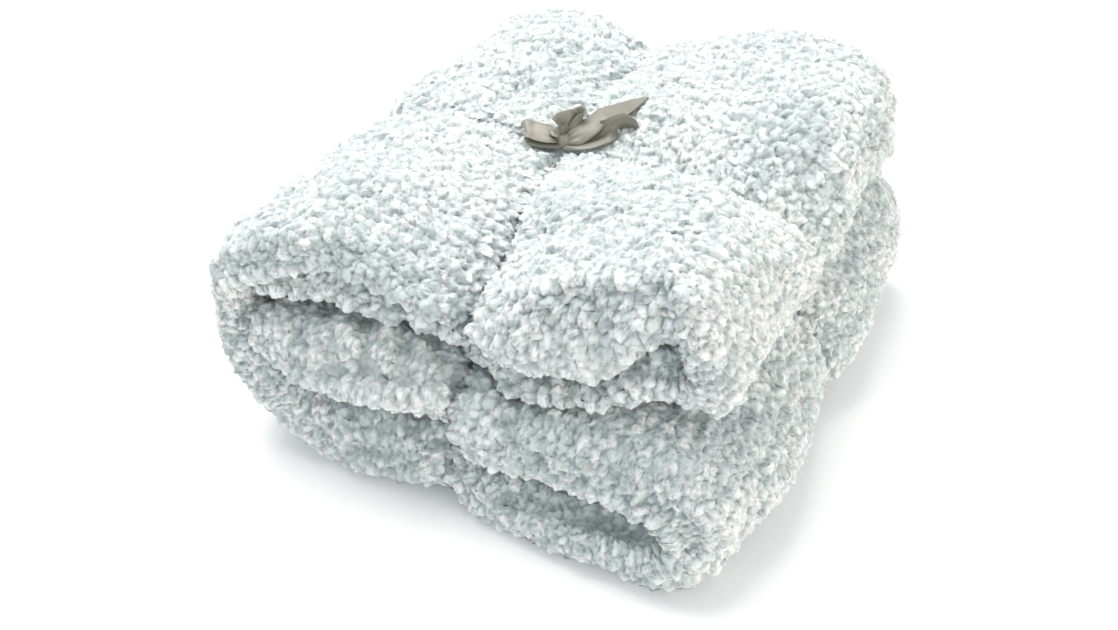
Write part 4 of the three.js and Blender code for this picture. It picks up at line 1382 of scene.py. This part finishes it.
def pile_material():
    """Shades along the tufts, painted shade in the gaps and pits between them, and strands drawn along each."""
    nodes = Nodes("fleece_pile")
    stops = [(0.0, (0.62, 0.695, 0.695)), (0.3, (0.82, 0.87, 0.868))]
    stops += [(0.6, (0.90, 0.93, 0.922)), (1.0, (0.945, 0.955, 0.94))]
    body = nodes.ramp(nodes.attribute("shade"), stops)
    place = nodes.add("ShaderNodeTexCoord").outputs["Object"]
    strand = nodes.add("ShaderNodeAttribute", attribute_name="strand").outputs["Vector"]
    fibres = nodes.noise(1.0, 3.0, nodes.vector_math("MULTIPLY", strand, (210.0, 520.0, 400.0)))
    ridge = nodes.math("ABSOLUTE", nodes.math("SUBTRACT", fibres, 0.5))
    where = nodes.noise(190.0, 2.0, place)
    warped = nodes.vector_math("MULTIPLY_ADD", nodes.noise(260.0, 2.0, place, "Color"), (0.004, 0.004, 0.004), place)
    curl = nodes.add("ShaderNodeTexVoronoi", {"Vector": warped, "Scale": 340.0}).outputs["Distance"]
    # pit and gap are painted shade: in the pits among the curls, the gaps between strands and the cracks between tufts,
    # darker than the roots' own grey-green.
    pit = nodes.math("MULTIPLY", nodes.range(curl, 0.45, 0.8), nodes.range(where, 0.35, 0.6))
    gap = nodes.math("MULTIPLY", nodes.range(ridge, 0.055, 0.0), nodes.range(where, 0.42, 0.62))
    apart = nodes.range(nodes.attribute("solid"), 0.75, 0.1)
    gap = nodes.math("MAXIMUM", gap, nodes.math("MULTIPLY", apart, nodes.range(where, 0.3, 0.6, 0.25, 1.0)))
    body = nodes.mix(nodes.range(nodes.attribute("tip"), 0.7, 0.0, 0.0, 0.8), body, (0.62, 0.70, 0.69))
    # The two dark colours here are the painted shade of the gaps and the pits.
    colour = nodes.mix(nodes.math("MULTIPLY", gap, 0.7), body, (0.30, 0.36, 0.35))
    colour = nodes.mix(nodes.math("MULTIPLY", pit, 0.3), colour, (0.33, 0.40, 0.39))
    nodes.shade(Base_Color=colour, Roughness=0.95)
    nodes.shade(Sheen_Weight=0.3, Sheen_Roughness=0.6, Sheen_Tint=(1, 1, 1, 1), Specular_IOR_Level=0.15)
    nodes.shade(Subsurface_Weight=0.6, Subsurface_Radius=(1.0, 1.0, 1.0), Subsurface_Scale=0.003)
    relief = nodes.math("SUBTRACT", nodes.range(fibres, 0.3, 0.7), gap)
    nodes.bump(nodes.math("SUBTRACT", relief, nodes.math("MULTIPLY", curl, 1.2)), 0.45, 0.0008)
    return nodes.material


def skin_material():
    nodes = Nodes("fleece_backing")
    tangle = nodes.noise(260.0, 5.0)
    colour = nodes.ramp(tangle, [(0.3, (0.42, 0.48, 0.47)), (0.7, (0.70, 0.76, 0.75))])
    nodes.shade(Base_Color=colour, Roughness=0.95, Sheen_Weight=0.3, Specular_IOR_Level=0.1)
    nodes.bump(tangle, 0.8, 0.002)
    return nodes.material


def ribbon_material():
    nodes = Nodes("ribbon_satin")
    place = nodes.add("ShaderNodeTexCoord").outputs["Object"]
    cloud = nodes.noise(60.0, 3.0, place)
    colour = nodes.ramp(cloud, [(0.3, (0.215, 0.205, 0.165)), (0.7, (0.275, 0.262, 0.215))])
    threads = nodes.noise(3200.0, 1.0, place)
    nodes.shade(Base_Color=nodes.mix(nodes.range(threads, 0.3, 0.7, 0.0, 0.15), colour, (0.40, 0.385, 0.33)))
    nodes.shade(Roughness=0.36, Specular_IOR_Level=0.6, Sheen_Weight=0.25, Anisotropic=0.4)
    nodes.bump(threads, 0.12, 0.0002)
    return nodes.material


def floor_material():
    nodes = Nodes("floor_white")
    colour = nodes.ramp(nodes.noise(3.0), [(0.0, (0.93, 0.93, 0.93)), (1.0, (0.95, 0.95, 0.95))])
    nodes.shade(Base_Color=colour, Roughness=0.9)
    nodes.shade(Emission_Color=(1, 1, 1, 1), Emission_Strength=0.08)
    return nodes.material


# ---- Camera, light and floor ----

AZIMUTH, ELEVATION, ROLL = math.radians(26.236), math.radians(39.423), math.radians(-0.955)
TARGET = np.array([0.00773, -0.06191, 0.080])
DISTANCE = 0.741355
FOCAL_LENGTH = 35.55
SENSOR_WIDTH = 36
NEAREST_SEEN = 0.01
LIT = Vector((0, 0, 0.08))  # where the lights point
LIGHTS = [  # name, place, size, power and colour
    ("key", (-0.6, 0.3, 1.95), 1.6, 40, (1.0, 0.955, 0.93)),
    ("side", (1.9, -0.5, 0.35), 1.2, 13.5, (1.0, 0.86, 0.75)),
]
SKY_COLOUR = (0.93, 0.975, 1.0)
SKY_LIGHT = 0.70
FLOOR_HALF = 4.0


def build_camera():
    a, e = AZIMUTH, ELEVATION
    ahead = np.array([-math.sin(a) * math.cos(e), math.cos(a) * math.cos(e), -math.sin(e)])
    right = np.array([math.cos(a), math.sin(a), 0])
    up = np.cross(right, ahead)
    rolled_right = right * math.cos(ROLL) + up * math.sin(ROLL)
    rolled_up = up * math.cos(ROLL) - right * math.sin(ROLL)
    camera_data = bpy.data.cameras.new("camera")
    camera_data.lens = FOCAL_LENGTH
    camera_data.sensor_width = SENSOR_WIDTH
    camera_data.clip_start = NEAREST_SEEN
    camera = bpy.data.objects.new("camera", camera_data)
    axes = Matrix([rolled_right, rolled_up, -ahead]).transposed()
    camera.matrix_world = Matrix.Translation(TARGET - ahead * DISTANCE) @ axes.to_4x4()
    bpy.context.scene.collection.objects.link(camera)
    bpy.context.scene.camera = camera


def add_light(name, place, size, power, colour):
    data = bpy.data.lights.new(name, "AREA")
    data.color = colour
    data.shape = "DISK"
    data.size = size
    data.energy = power
    light = bpy.data.objects.new(name, data)
    light.location = place
    light.rotation_euler = (LIT - Vector(place)).to_track_quat("-Z", "Y").to_euler()
    bpy.context.scene.collection.objects.link(light)


def build_studio():
    world = bpy.data.worlds.new("studio")
    world.use_nodes = True
    background = world.node_tree.nodes["Background"]
    background.inputs["Color"].default_value = (*SKY_COLOUR, 1)
    background.inputs["Strength"].default_value = SKY_LIGHT
    bpy.context.scene.world = world
    bpy.context.scene.view_settings.view_transform = "Standard"
    for light in LIGHTS:
        add_light(*light)
    corners = np.column_stack([(2 * SQUARE - 1) * FLOOR_HALF, np.zeros(len(SQUARE))])
    floor = mesh_object("floor", corners, [range(len(SQUARE))])
    floor.data.materials.append(floor_material())


# ---- Making ----

build_camera()
build_studio()

turns = [gathered_turn("ribbon_turn_long", 0), gathered_turn("ribbon_turn_cross", 1)]
bow = [
    bow_stretch("bow_loop_left", LEFT_LOOP, "folded", loop_shape),
    bow_stretch("bow_loop_back", BACK_LOOP, "folded", loop_shape),
    bow_stretch("bow_tail_long", LONG_TAIL, "draped", long_tail_shape, LONG_TAIL_CUT),
    bow_stretch("bow_tail_short", SHORT_TAIL, "draped", short_tail_shape, SHORT_TAIL_CUT),
]
knot = build_knot()
skin, skin_flat = build_skin()
blockers = [
    BVHTree.FromPolygons([v.co for v in piece.data.vertices], [tuple(p.vertices) for p in piece.data.polygons])
    for piece in [knot, *(entry[0] for entry in turns + bow)]
]
pile = build_pile(skin, skin_flat, blockers)

fleece, backing, satin = pile_material(), skin_material(), ribbon_material()
skin.data.materials.append(backing)
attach(skin, "root")
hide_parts("throw")
for piece in pile:
    piece.data.materials.append(fleece)
    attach(piece, "root")

for piece, held, flat in turns + bow:
    piece.data.materials.append(satin)
    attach(piece, "root")
    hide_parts("ribbon")
knot.data.materials.append(satin)
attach(knot, "root")
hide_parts("ribbon")
